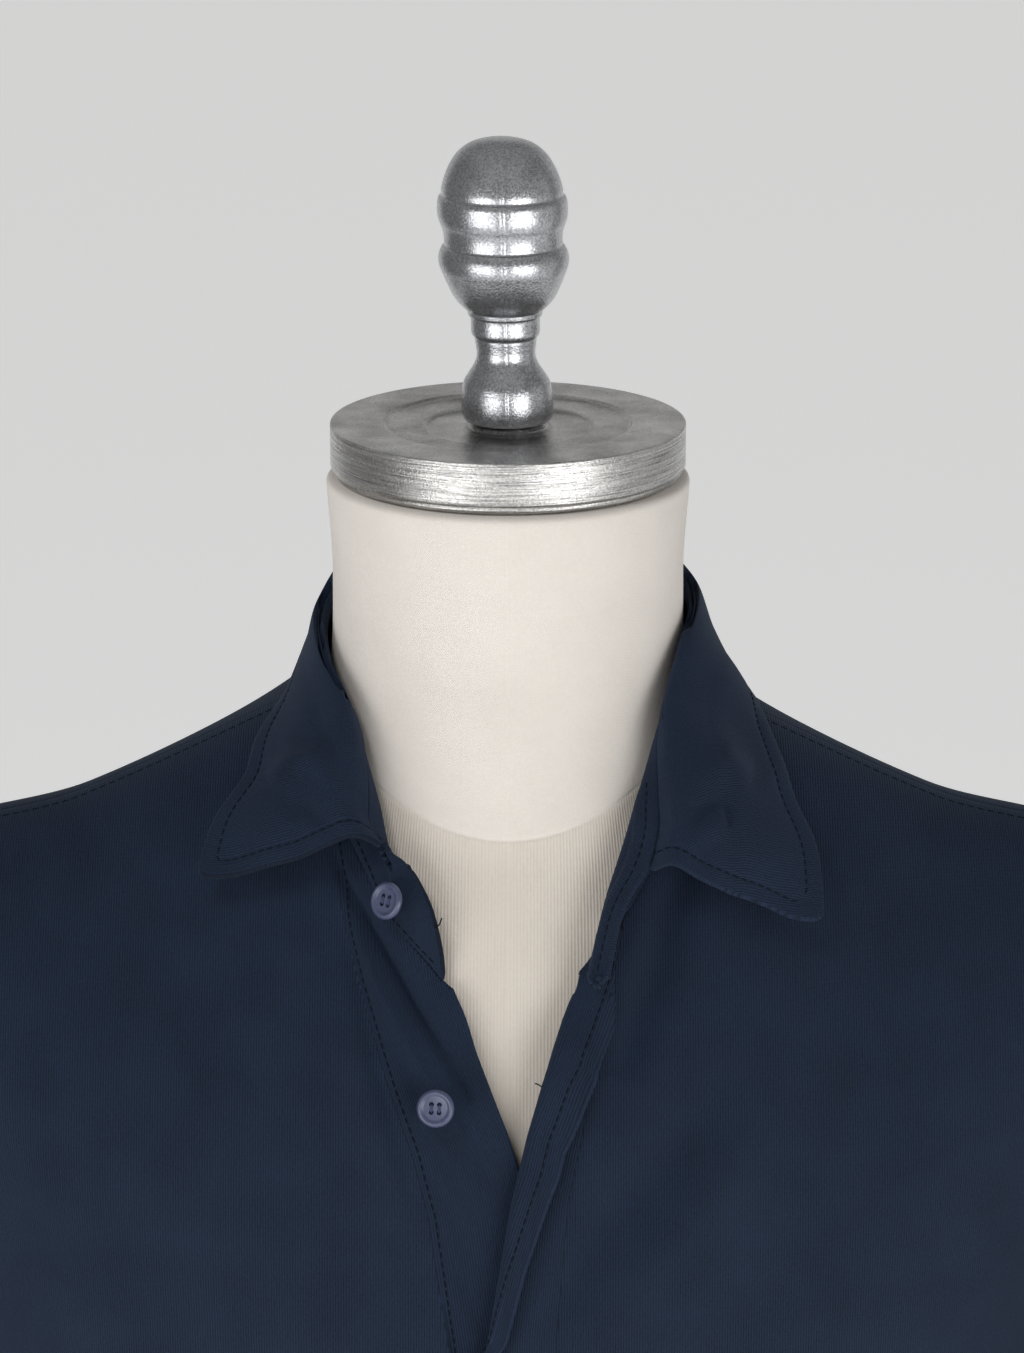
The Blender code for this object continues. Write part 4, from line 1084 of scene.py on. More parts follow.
# %% Neck cap and knob
CAP_RADIUS, CAP_TOP, JOINT_GAP = 58.0, 21.3, 0.4
cap_outline = rounded(
    [
        (0, NECK_RISE + JOINT_GAP), (CAP_RADIUS - 2.4, NECK_RISE + JOINT_GAP), (CAP_RADIUS - 1.2, 5.4),
        (CAP_RADIUS - 1.2, 6.8), (CAP_RADIUS, 7.4), (CAP_RADIUS, CAP_TOP), (56.8, CAP_TOP), (41.0, CAP_TOP),
        (39.5, 20.2), (28.0, 20.1), (26.5, 19.1), (15.5, 19.1), (13.6, 19.7), (11.5, CAP_TOP), (0, CAP_TOP),
    ],
    0.8,
)
neck_cap = turned("neck_cap_cast", cap_outline, 0, cap_metal, 192)

KNOB_FOOT, KNOB_LEAN, KNOB_STEPS = 17.9, -0.024, 240
KNOB_OUTLINE = (
    (12.6, 3.7), (13.8, 4.2), (14.7, 5.7), (15.0, 8.2), (14.95, 10.9), (14.65, 14.2), (14.0, 17.0), (12.6, 19.4),
    (10.8, 22.2), (9.8, 24.5), (9.55, 26.6), (9.75, 28.6), (10.05, 30.6), (10.3, 31.9), (10.85, 32.4), (11.1, 33.1),
    (11.2, 35.6), (11.35, 38.1), (11.5, 38.6), (11.95, 38.9), (12.15, 39.6), (12.45, 40.8), (13.05, 41.2),
    (13.9, 42.0), (16.0, 44.4), (18.2, 48.6), (19.95, 52.8), (20.8, 55.0), (21.15, 56.8), (21.1, 58.4),
    (20.8, 59.8), (20.3, 60.9), (19.75, 61.7), (19.3, 62.0), (19.2, 63.4), (19.35, 66.0), (19.85, 68.0),
    (20.5, 69.6), (20.95, 71.2), (21.15, 73.2), (21.1, 75.2), (20.9, 76.9), (20.45, 77.9), (19.85, 78.3),
    (19.7, 80.2), (19.0, 83.0), (17.3, 87.4), (14.6, 91.6), (10.8, 94.7), (6.0, 96.3), (0.0, 96.8),
)


def smooth_outline(points, steps=4):
    """More points on a curve through the given ones."""
    sections = np.array([[(r, h, 0.0)] for r, h in points])
    return loft(sections, np.linspace(0, len(points) - 1, steps * (len(points) - 1) + 1))[:, 0, :2]


def lift_to_neck(piece):
    """Moves a piece's mesh from the floor up to level 0."""
    for vertex in piece.data.vertices:
        vertex.co.z += NECK_TOP * MM


knob_outline = np.concatenate([[(0.0, KNOB_OUTLINE[0][1])], smooth_outline(KNOB_OUTLINE)])
knob_outline[:, 0] = np.maximum(knob_outline[:, 0], 0)
knob = turned("knob_cast", knob_outline, KNOB_FOOT, knob_metal, KNOB_STEPS)
MOULD_LINE_MM = 0.22
for vertex in knob.data.vertices:
    if abs(vertex.co.x) < 1e-5 and math.hypot(vertex.co.x, vertex.co.y) > 0.002:
        vertex.co.y += math.copysign(MOULD_LINE_MM * MM, vertex.co.y)
    vertex.co.x += max(0.0, vertex.co.z - KNOB_FOOT * MM) * KNOB_LEAN
for piece in (knob, neck_cap):
    lift_to_neck(piece)
print("cap and knob:", len(neck_cap.data.polygons) + len(knob.data.polygons), "faces")

# %% [markdown]
# ## Post and base
#
# They stand below the picture's edge, so they are the plain ones that such forms have: a steel post in a heavy iron
# base, both painted satin black. Paint over a casting has a faint pebble, and its gloss is uneven.

# %% Post and base
def painted_iron():
    made, tree, shader = new_material("satin_black_paint_on_iron", Metallic=0.0, IOR=1.5)
    place = add(tree, "ShaderNodeTexCoord").outputs["Object"]
    pebble = add(tree, "ShaderNodeTexNoise", Vector=place, Scale=700.0, Detail=2.0)
    wear = add(tree, "ShaderNodeTexNoise", Vector=place, Scale=18.0, Detail=5.0)
    gloss = add(tree, "ShaderNodeMapRange", Value=wear.outputs[0])
    gloss.inputs[3].default_value, gloss.inputs[4].default_value = 0.3, 0.52
    tree.links.new(gloss.outputs[0], shader.inputs["Roughness"])
    tone = add(
        tree, "ShaderNodeMix", {"data_type": "RGBA"}, i0=wear.outputs[0], i6=linear("#1b1b1d"), i7=linear("#2c2c2e")
    )
    tree.links.new(tone.outputs[2], shader.inputs["Base Color"])
    bump = add(tree, "ShaderNodeBump", Strength=0.5, Distance=0.0001, Height=pebble.outputs[0])
    tree.links.new(bump.outputs[0], shader.inputs["Normal"])
    return made


black_iron = painted_iron()
POST_RADIUS, BASE_RADIUS, BASE_TOP = 17.0, 165.0, 34.0
base_outline = rounded(
    [
        (0, 0), (BASE_RADIUS, 0), (BASE_RADIUS, 6), (158, 11), (110, 15), (60, 19), (30, 26), (24, BASE_TOP),
        (0, BASE_TOP),
    ],
    2.5, 5,
)
base_plate = turned("base_casting", base_outline, 0, black_iron, 160)
post_foot, post_head = BASE_TOP + JOINT_GAP, NECK_TOP - FORM_RINGS[-1].side - JOINT_GAP
post_outline = rounded([(0, post_foot), (POST_RADIUS, post_foot), (POST_RADIUS, post_head), (0, post_head)], 1.0)
post = turned("post_tube", post_outline, 0, black_iron, 64)
print("post and base:", len(base_plate.data.polygons) + len(post.data.polygons), "faces")

# %% [markdown]
# ## The form's cover
#
# The form is a firm shell covered in cream cotton, drawn tight. The neck is a smooth calico. From the neck's foot
# down it is a ribbed cloth whose ribs run upright, coloured a darker cream that is partly its own and partly painted
# shade. A seam goes down the middle of the front and the back, and another round the foot of the neck. The cover is
# one closed skin here, with its seams pulled in, and a painted attribute tells its material where the ribs are. Its
# colour varies in soft clouds and is painted darker in the grooves of its ribs and weave, as painted shade.

# %% Form cotton
RIB_MM = 1.1


def form_material():
    made, tree, shader = new_material(
        "cream_cotton_cover", Roughness=0.92, Sheen_Weight=0.12, Sheen_Roughness=0.5, IOR=1.45
    )
    uv = add(tree, "ShaderNodeUVMap", {"uv_map": "cloth"}).outputs[0]
    ribbed = add(tree, "ShaderNodeAttribute", {"attribute_name": "ribbed"}).outputs["Fac"]
    split = add(tree, "ShaderNodeSeparateXYZ", i0=uv)
    ribs = maths(tree, "SINE", maths(tree, "MULTIPLY", split.outputs[0], math.tau / RIB_MM))
    fine = maths(tree, "SINE", maths(tree, "MULTIPLY", split.outputs[0], math.tau / 0.8))
    weft = maths(tree, "SINE", maths(tree, "MULTIPLY", split.outputs[1], math.tau / 0.9))
    weave = maths(tree, "MULTIPLY", maths(tree, "MULTIPLY", fine, weft), 0.5)
    slub = add(tree, "ShaderNodeTexNoise", {"noise_dimensions": "2D"}, Vector=uv, Scale=0.7, Detail=3.0)
    cloud = add(tree, "ShaderNodeTexNoise", {"noise_dimensions": "2D"}, Vector=uv, Scale=0.02, Detail=4.0)
    cut = maths(tree, "MULTIPLY", ribs, 0.36)
    height = add(tree, "ShaderNodeMix", {"data_type": "FLOAT"}, i0=ribbed, i2=weave, i3=cut).outputs[0]
    height = maths(tree, "ADD", height, slub.outputs[0])
    # Painted shade: the cover is darker where its rib and weave bump is low, in the grooves; the cloud noise is a
    # random tone of the cotton.
    cloud_tone_and_groove_shade = maths(tree, "ADD", maths(tree, "MULTIPLY", cloud.outputs[0], 0.7), maths(tree, "MULTIPLY", height, 0.2))
    colour = add(
        tree, "ShaderNodeMix", {"data_type": "RGBA", "clamp_factor": True}, i0=cloud_tone_and_groove_shade, i6=linear("#c6bfb8"),
        i7=linear("#e3ddd6"),
    )
    # Partly painted shade: below the neck's foot the cover is a darker, greyer cream, partly for the ribbed cloth and
    # partly standing in for the shade of the shirt and collar over it.
    chest = add(
        tree, "ShaderNodeMix", {"data_type": "RGBA", "clamp_factor": True}, i0=cloud_tone_and_groove_shade, i6=linear("#b6aea4"),
        i7=linear("#dad2c8"),
    )
    cover = add(tree, "ShaderNodeMix", {"data_type": "RGBA"}, i0=ribbed, i6=colour.outputs[2], i7=chest.outputs[2])
    tree.links.new(cover.outputs[2], shader.inputs["Base Color"])
    bump = add(tree, "ShaderNodeBump", Strength=0.6, Distance=0.00018, Height=height)
    tree.links.new(bump.outputs[0], shader.inputs["Normal"])
    return made


form_cotton = form_material()


def make_form():
    seam_turns = np.array([-1.4, -0.8, -0.4, 0, 0.4, 0.8, 1.4])
    plain = np.linspace(3.4, 176.6, 78)
    angles = np.concatenate([seam_turns[3:], plain, 180 + seam_turns, 180 + plain, 360 + seam_turns[:3]])
    near_foot = 2 + np.array([-0.03, -0.016, -0.008, 0, 0.008, 0.016, 0.03])
    stations = np.concatenate(
        [
            [0.0, 0.015, 0.035, 0.06], np.linspace(0.1, 1.94, 34), near_foot, np.linspace(2.06, 6, 84),
            np.linspace(6, 8.9, 72)[1:], [8.93, 8.96, 8.98, 9.0],
        ]
    )
    rows = np.repeat(stations[:, None], len(angles), axis=1)
    grid = body_surface(FORM_RINGS, np.repeat(angles[None, :], len(stations), axis=0), rows)
    for shares, row_numbers in (((0.955, 0.982, 0.995, 1.0), range(4)), ((1.0, 0.995, 0.985, 0.96), range(-4, 0))):
        for share, row in zip(shares, row_numbers):
            grid[row, :, :2] *= share
    outward = grid_normals(grid, wrap=True)
    aside = np.abs((angles + 90) % 180 - 90)[None, :]
    depth = 0.22 * np.exp(-((aside / 0.35) ** 2)) * np.clip(stations / 0.1, 0, 1)[:, None]
    depth = np.maximum(depth, 0.3 * np.exp(-(((rows - 2) / 0.007) ** 2)))
    grid = grid - outward * depth[..., None]
    count, columns = grid.shape[:2]
    index = np.arange(count * columns).reshape(count, columns)
    beside = np.roll(index, -1, axis=1)
    cells = np.stack([index[:-1], index[1:], beside[1:], beside[:-1]], axis=-1).reshape(-1, 4)
    faces = cells.tolist() + [index[0].tolist(), index[-1, ::-1].tolist()]
    around, down = run_lengths(grid, 1), run_lengths(grid, 0)
    around = np.where(angles > 180, around - around[:, -1:], around)  # measured from the front seam both ways
    mesh_uv = np.stack([around, -down], axis=-1).reshape(-1, 2)
    made = new_mesh("form_cover", grid.reshape(-1, 3), faces, form_cotton, mesh_uv)
    ribbed = made.data.attributes.new("ribbed", "FLOAT", "POINT")
    ribbed.data.foreach_set("value", np.clip((rows - 1.999) * 500, 0, 1).ravel().astype(np.float32))
    return made


form_cover = make_form()
print("form:", len(form_cover.data.polygons), "faces")

# %% [markdown]
# ## Buttons
#
# Four-hole shirt buttons in slate-blue resin, turned with a raised rim, about 12 mm across. The disc is turned like
# the other lathe pieces, its holes are cut with a Boolean, and two upright bars of thread hold it to the cloth.

# %% Buttons
def resin_material():
    made, tree, shader = new_material(
        "slate_polyester_resin", Roughness=0.34, IOR=1.54, Coat_Weight=0.15, Coat_Roughness=0.2
    )
    place = add(tree, "ShaderNodeTexCoord").outputs["Object"]
    swirl = add(tree, "ShaderNodeTexNoise", Vector=place, Scale=260.0, Detail=3.0, Distortion=1.2)
    colour = add(
        tree, "ShaderNodeMix", {"data_type": "RGBA"}, i0=swirl.outputs[0], i6=linear("#323853"), i7=linear("#4a516c")
    )
    tree.links.new(colour.outputs[2], shader.inputs["Base Color"])
    return made


def thread_material(name, dark, light):
    made, tree, shader = new_material(name, Roughness=0.8, Specular_IOR_Level=0.2, IOR=1.4)
    place = add(tree, "ShaderNodeTexCoord").outputs["Object"]
    ply = add(tree, "ShaderNodeTexNoise", Vector=place, Scale=3000.0, Detail=1.0)
    colour = add(tree, "ShaderNodeMix", {"data_type": "RGBA"}, i0=ply.outputs[0], i6=linear(dark), i7=linear(light))
    tree.links.new(colour.outputs[2], shader.inputs["Base Color"])
    return made


button_resin = resin_material()
# Partly painted shade: the navy thread is coloured nearly black, as dark as the jersey's shaded grooves, to stand in
# for the shade of the groove that each stitch pulls in.
thread = thread_material("navy_thread_with_painted_shade", "#04070d", "#0b111c")
button_thread = thread_material("slate_polyester_thread", "#333a55", "#49506c")
Button = namedtuple("Button", "name centre facing")
BUTTONS = (
    Button("button_stand", (-37.5, -91.5, -112.5), (-0.6, -0.72, 0.34)),
    Button("button_upper", (-22.5, -119.5, -171.6), (-0.14, -0.95, 0.28)),
    Button("button_lower", (0.0, -139.5, -277.0), (0.0, -0.998, 0.06)),
)
BUTTON_OUTLINE = rounded(
    [(0, 0), (5.1, 0), (6.0, 0.9), (6.0, 1.8), (5.3, 2.6), (4.6, 2.6), (3.9, 1.95), (0, 1.85)], 0.35, 4
)
HOLE_RADIUS, HOLE_OUT = 0.8, 1.25


def button_frame(button):
    """Sideways, upward and facing directions of a button, as the columns of a matrix."""
    facing = np.array(button.facing) / np.linalg.norm(button.facing)
    side = unit(np.cross((0, 0, 1.0), facing))
    return np.stack([side, np.cross(facing, side), facing], axis=1)


def place_on(piece, button):
    """Moves a piece's mesh from the workbench to the button's place on the shirt."""
    turn = button_frame(button)
    for vertex in piece.data.vertices:
        vertex.co = (turn @ (np.array(vertex.co) / MM) + button.centre + (0, 0, NECK_TOP)) * MM


def make_button(button):
    disc = turned(button.name + "_disc", BUTTON_OUTLINE, 0, button_resin, 48)
    for quarter in range(4):
        x, y = (HOLE_OUT * (1 if quarter in ends else -1) for ends in ((0, 3), (0, 1)))
        drill = turned("drill", [(0, -2), (HOLE_RADIUS, -2), (HOLE_RADIUS, 5), (0, 5)], 0, button_resin, 16)
        for vertex in drill.data.vertices:
            vertex.co += Vector((x * MM, y * MM, 0))
        cut = disc.modifiers.new("hole", "BOOLEAN")
        cut.operation, cut.solver, cut.object = "DIFFERENCE", "EXACT", drill
        apply_modifiers(disc)
        bpy.data.objects.remove(drill)
    disc.data.shade_smooth()
    disc.data.set_sharp_from_angle(angle=math.radians(35))
    place_on(disc, button)
    return disc


buttons = [make_button(button) for button in BUTTONS]
print("buttons:", [len(b.data.polygons) for b in buttons], "faces")

# %% [markdown]
# ## Stitches
#
# Topstitching is what makes sewn cloth look sewn: a row of short dashes a few millimetres inside each folded edge.
# Every row is a path on the cloth, and a Geometry Nodes tree walks along it. It sets out points at the stitch
# length, puts a small bead of thread on each, turns it to lie along the path and joins them to one mesh. Paths come
# from the same grids as the cloth, so the stitches sit on it wherever it bends. A buttonhole uses the same tree,
# with its beads set close together.

# %% A tree that sews along a path
def sewing_tree():
    tree, given, result = new_tree(
        "sewn_path",
        {
            "Pitch": ("NodeSocketFloat", 0.003),
            "Along": ("NodeSocketFloat", 0.0024),
            "Across": ("NodeSocketFloat", 0.0005),
            "Thread": ("NodeSocketMaterial", None),
        },
    )
    path = add(tree, "GeometryNodeMeshToCurve", Mesh=given.outputs["Geometry"])
    spaced = add(tree, "GeometryNodeResampleCurve", {"mode": "LENGTH"}, Curve=path.outputs[0])
    tree.links.new(given.outputs["Pitch"], spaced.inputs["Length"])
    points = add(tree, "GeometryNodeCurveToPoints", {"mode": "EVALUATED"}, Curve=spaced.outputs[0])
    bead = add(tree, "GeometryNodeMeshUVSphere", Segments=6, Rings=4, Radius=0.5)
    turn = add(tree, "FunctionNodeAlignRotationToVector", {"axis": "X"}, Vector=points.outputs["Tangent"])
    size = add(
        tree, "ShaderNodeCombineXYZ", X=given.outputs["Along"], Y=given.outputs["Across"], Z=given.outputs["Across"]
    )
    beads = add(
        tree, "GeometryNodeInstanceOnPoints", Points=points.outputs[0], Instance=bead.outputs[0],
        Rotation=turn.outputs[0], Scale=size.outputs[0],
    )
    real = add(tree, "GeometryNodeRealizeInstances", Geometry=beads.outputs[0])
    finish = add(tree, "GeometryNodeSetMaterial", Geometry=real.outputs[0], Material=given.outputs["Thread"])
    tree.links.new(finish.outputs[0], result.inputs[0])
    return tree


sewing = sewing_tree()
stitching = {}  # the stitch meshes of each piece of cloth


def path_mesh(name, path):
    """A chain of points with edges between them, in metres above the floor."""
    mesh = bpy.data.meshes.new(name)
    points = (np.asarray(path) + (0, 0, NECK_TOP)) * MM
    mesh.from_pydata(points.tolist(), [(i, i + 1) for i in range(len(points) - 1)], [])
    made = bpy.data.objects.new(name, mesh)
    scene.collection.objects.link(made)
    return made


def sew(name, owner, paths, pitch=3.1, along=2.5, across=0.5):
    """Rows of stitches along these paths, joined to one piece that belongs to the cloth."""
    rows = [path_mesh(f"{name}_{number}", path) for number, path in enumerate(paths)]
    for row in rows:
        run_tree(row, sewing, {"Pitch": pitch * MM, "Along": along * MM, "Across": across * MM, "Thread": thread})
    made = join(rows, name)
    stitching.setdefault(owner, []).append(made)
    return made


def join(pieces, name, material=None):
    """One object from several meshes, of thread where no other material is given."""
    points, faces, start = [], [], 0
    for piece in pieces:
        points += [tuple(v.co) for v in piece.data.vertices]
        faces += [[v + start for v in face.vertices] for face in piece.data.polygons]
        start += len(piece.data.vertices)
        bpy.data.objects.remove(piece)
    mesh = bpy.data.meshes.new(name)
    mesh.from_pydata(points, [], faces)
    mesh.materials.append(material or thread)
    mesh.shade_smooth()
    made = bpy.data.objects.new(name, mesh)
    scene.collection.objects.link(made)
    return made


print("sewing tree:", len(sewing.nodes), "nodes")

# %% [markdown]
# ## Paths on the cloth
#
# A path is given in rows and columns of a grid, and both may be fractions. Its height over the grid is half of a
# stitch's own thickness, so the thread lies in the groove that it pulled into the cloth.

# %% Paths on the cloth
def on_grid(grid, rows, columns, lift):
    """Points at fractional rows and columns of a grid, moved out along its normals."""
    rows, columns = np.broadcast_arrays(np.asarray(rows, float), np.asarray(columns, float))
    low_row = np.clip(rows.astype(int), 0, grid.shape[0] - 2)
    low_column = np.clip(columns.astype(int), 0, grid.shape[1] - 2)
    down, aside = (rows - low_row)[..., None], (columns - low_column)[..., None]
    lifted = grid + grid_normals(grid) * lift
    above = lifted[low_row, low_column] * (1 - aside) + lifted[low_row, low_column + 1] * aside
    below = lifted[low_row + 1, low_column] * (1 - aside) + lifted[low_row + 1, low_column + 1] * aside
    return above * (1 - down) + below * down


def row_at(grid, column, distance, from_end=False):
    """Row at which one column of the grid has run this far from its start or from its end."""
    run = run_lengths(grid[:, column : column + 1], 0)[:, 0]
    return np.interp(run[-1] - distance if from_end else distance, run, np.arange(len(run)))


def column_at(grid, row, distance, from_end=False):
    """Column at which one row of the grid has run this far from its start or from its end."""
    run = run_lengths(grid[row : row + 1], 1)[0]
    return np.interp(run[-1] - distance if from_end else distance, run, np.arange(len(run)))


def along_rows(grid, distance, first, last, from_end=False):
    """A row of stitches that runs down a grid at a distance from its side."""
    rows = np.arange(first, last)
    return rows, np.array([column_at(grid, row, distance, from_end) for row in rows])


def along_columns(grid, distance, first, last, from_end=False):
    """A row of stitches that runs along a grid at a distance from its top or from its foot."""
    columns = np.arange(first, last)
    return np.array([row_at(grid, column, distance, from_end) for column in columns]), columns


# Leaf: one row round its three free edges. The corner columns are left out, so that the row turns neatly.
leaf_rows, leaf_columns = leaf_grid.shape[:2]
foot_path = along_columns(leaf_grid, LEAF_STITCH, 0, leaf_columns, from_end=True)
left_side = along_rows(leaf_grid, LEAF_STITCH, 8, leaf_rows)
right_side = along_rows(leaf_grid, LEAF_STITCH, 8, leaf_rows, from_end=True)
corner_left = int(column_at(leaf_grid, leaf_rows - 12, LEAF_STITCH)) + 1
corner_right = int(column_at(leaf_grid, leaf_rows - 12, LEAF_STITCH, from_end=True))
end_left, end_right = (
    int(row_at(leaf_grid, column, LEAF_STITCH, from_end=True)) for column in (corner_left, corner_right)
)
leaf_path = [
    np.concatenate([left_side[axis][: end_left - 8], foot_path[axis][corner_left:corner_right],
                    right_side[axis][: end_right - 8][::-1]])
    for axis in (0, 1)
]
LEAF_FACE = COLLAR_CLOTH / 2 + 0.05
sew("leaf_stitches", "collar_leaf", [on_grid(leaf_grid, *leaf_path, -LEAF_FACE)])

# Stand: along its foot and up the middle of the folded strip at its end, on both faces.
stand_columns = stand_grid.shape[1]
stand_foot_row = along_columns(stand_grid, 1.6, 6, stand_columns - 6, from_end=True)
strip_row = along_columns(stand_grid, STRIP_STITCH, int(stand_columns * 0.8), stand_columns - 6)
inside = -COLLAR_CLOTH / 2 - 0.05
sew(
    "stand_stitches", "collar_stand",
    [on_grid(stand_grid, *stand_foot_row, LEAF_FACE), on_grid(stand_grid, *stand_foot_row, inside),
     on_grid(stand_grid, *strip_row, LEAF_FACE), on_grid(stand_grid, *strip_row, inside)],
)
print("collar stitches:", [len(p.data.polygons) for owner in stitching.values() for p in owner], "faces")

# %% [markdown]
# ## Stitches on the bands, the body and the sleeves
#
# Each band has one row along it. On the rolled band it shows from the back of the cloth, because that side is
# turned out. A row runs in front of each shoulder seam, and the hem and the cuffs are turned up and held by two
# rows, as a knit has to be so that it can stretch.

# %% Stitches on the bands, the body and the sleeves
def column_path(grid, share, lift, first=0, last=None):
    """A path down a band, at one share of its columns' spacing."""
    rows = np.arange(grid.shape[0])[first:last]
    return on_grid(grid, rows, np.full(len(rows), share), lift)


for owner, grid, place in (("under_band", under_grid, 2.0), ("upper_band", upper_grid, 5.0)):
    travel = run_lengths(grid[len(grid) // 2 :][:1], 1)[0]
    spot = np.interp(place, travel, np.arange(len(travel)))
    faces_out = (0.05,) if owner == "under_band" else (0.05, -PLACKET_CLOTH - 0.05)
    sew(owner + "_stitches", owner, [column_path(grid, spot, lift, 1, -1) for lift in faces_out])

# The placket's foot: a box of stitches through everything.
foot_across = np.linspace(1.5, upper_grid.shape[1] - 2.5, 40)
sew(
    "placket_foot_stitches", "upper_band",
    [on_grid(upper_grid, row_at(upper_grid, 6, distance, from_end=True) + 0 * foot_across, foot_across, 0.05)
     for distance in (2.0, 14.0)],
)

HEM_STITCH, CUFF_STITCH, SHOULDER_STITCH = 20.0, 20.0, 6.0
for owner, grid, ends in (("front", front_grid, 1), ("back", back_grid, 0)):
    columns = np.arange(1, grid.shape[1] - 1)
    rows = np.array([row_at(grid, column, HEM_STITCH, from_end=True) for column in columns])
    paths = [on_grid(grid, rows, columns, 0.05), on_grid(grid, rows - 0.35, columns, 0.05)]
    if ends:
        shoulder_rows = np.arange(2, 88)
        for from_end in (False, True):
            places = np.array([column_at(grid, row, SHOULDER_STITCH, from_end) for row in shoulder_rows])
            paths.append(on_grid(grid, shoulder_rows, places, 0.05))
    sew(owner + "_stitches", owner, paths, pitch=3.4, along=2.7, across=0.45)

for owner, grid in (("sleeve_right", sleeve_grids[0]), ("sleeve_left", sleeve_grids[1])):
    columns = np.arange(grid.shape[1])
    rows = np.array([row_at(grid, column, CUFF_STITCH, from_end=True) for column in columns])
    paths = [on_grid(grid, rows, columns, 0.05), on_grid(grid, rows - 0.35, columns, 0.05)]
    sew(owner + "_stitches", owner, paths, pitch=3.4, along=2.7, across=0.45)
print("stitches:", sum(len(p.data.polygons) for owner in stitching.values() for p in owner), "faces")

# %% [markdown]
# ## Buttonholes and threads
#
# A buttonhole is a slit with thread laid close across both of its lips. The buttons are sewn through their four
# holes in two upright bars, and each thread stands a little proud of the dish. Two ends of thread were left uncut
# where the bands were finished.

# %% Buttonholes and threads
def tube_tree():
    tree, given, result = new_tree(
        "thread_tube", {"Radius": ("NodeSocketFloat", 0.0002), "Thread": ("NodeSocketMaterial", None)}
    )
    path = add(tree, "GeometryNodeMeshToCurve", Mesh=given.outputs["Geometry"])
    ring = add(tree, "GeometryNodeCurvePrimitiveCircle", Resolution=6, Radius=given.outputs["Radius"])
    tube = add(tree, "GeometryNodeCurveToMesh", Curve=path.outputs[0], Profile_Curve=ring.outputs[0], Fill_Caps=True)
    real = add(tree, "GeometryNodeRealizeInstances", Geometry=tube.outputs[0])
    finish = add(tree, "GeometryNodeSetMaterial", Geometry=real.outputs[0], Material=given.outputs["Thread"])
    tree.links.new(finish.outputs[0], result.inputs[0])
    return tree


tubing = tube_tree()


def thread_tubes(name, paths, radius, material):
    """Tubes of thread along these paths, joined to one piece."""
    tubes = [path_mesh(f"{name}_{number}", path) for number, path in enumerate(paths)]
    for tube in tubes:
        run_tree(tube, tubing, {"Radius": radius * MM, "Thread": material})
    return join(tubes, name, material)


BUTTON_DISH, THREAD_RADIUS = 1.85, 0.24


def button_threads(button):
    """Threads from hole to hole: two upright bars of two strands each."""
    turn = button_frame(button)
    out = HOLE_OUT
    bars = [((-out, -out), (-out, out)), ((out, -out), (out, out))]
    paths = []
    for start, end in bars:
        start, end = np.array(start), np.array(end)
        aside = unit(np.array([start[1] - end[1], end[0] - start[0]])) * THREAD_RADIUS * 0.9
        for strand in (-1, 1):
            t = np.linspace(0, 1, 11)[:, None]
            flat = start + (end - start) * t + aside * strand * np.sin(math.pi * t) ** 0.3
            high = BUTTON_DISH + 0.18 - 1.5 * (np.abs(2 * t - 1) ** 6)
            local = np.concatenate([flat, high], axis=1)
            paths.append(local @ turn.T + button.centre)
    return thread_tubes(button.name + "_thread", paths, THREAD_RADIUS, button_thread)


threads = [button_threads(button) for button in BUTTONS]


def buttonhole(name, grid, share, height, lift):
    """Two lips of close stitches, with a bar of them at both ends."""
    middle = int(np.argmin(np.abs(grid[:, int(share), 2] - height)))
    down = run_lengths(grid[:, int(share) : int(share) + 1], 0)[:, 0]
    rows = np.interp(down[middle] + np.linspace(-7, 7, 30), down, np.arange(len(down)))
    spacing = np.linalg.norm(grid[middle, int(share) + 1] - grid[middle, int(share)])
    paths = [on_grid(grid, rows, share + side * 0.75 / spacing, lift) for side in (-1, 1)]
    for end in (0, -1):
        across = share + np.linspace(-1.2, 1.2, 7) / spacing
        paths.append(on_grid(grid, rows[end] + 0 * across, across, lift))
    return sew(name, "upper_band", paths, pitch=0.42, along=0.9, across=0.5)


middle_column = np.interp(BAND_WIDTH / 2, run_lengths(upper_grid[60:61], 1)[0], np.arange(upper_grid.shape[1]))
for number, button in enumerate(BUTTONS[1:2]):
    for face, lift in (("outer", 0.05), ("inner", -PLACKET_CLOTH - 0.05)):
        buttonhole(f"buttonhole_{number}_{face}", upper_grid, middle_column, button.centre[2], lift)

LOOSE_ENDS = (
    ((-23.4, -91.0, -121.4), (-22.6, -92.4, -121.0), (-21.6, -93.4, -119.6), (-20.9, -93.9, -117.4)),
    ((12.0, -113.2, -167.2), (10.5, -114.1, -166.3), (9.4, -114.9, -165.3), (8.6, -115.6, -164.8)),
)
loose = thread_tubes("loose_thread_ends", LOOSE_ENDS, 0.24, thread)
print("threads:", len(threads), "sewn buttons and", len(LOOSE_ENDS), "loose ends")

# %% [markdown]
# ## What each piece stands for
#
# Each visible piece rides on the model's one body and replaces the plain solid that it was built round.

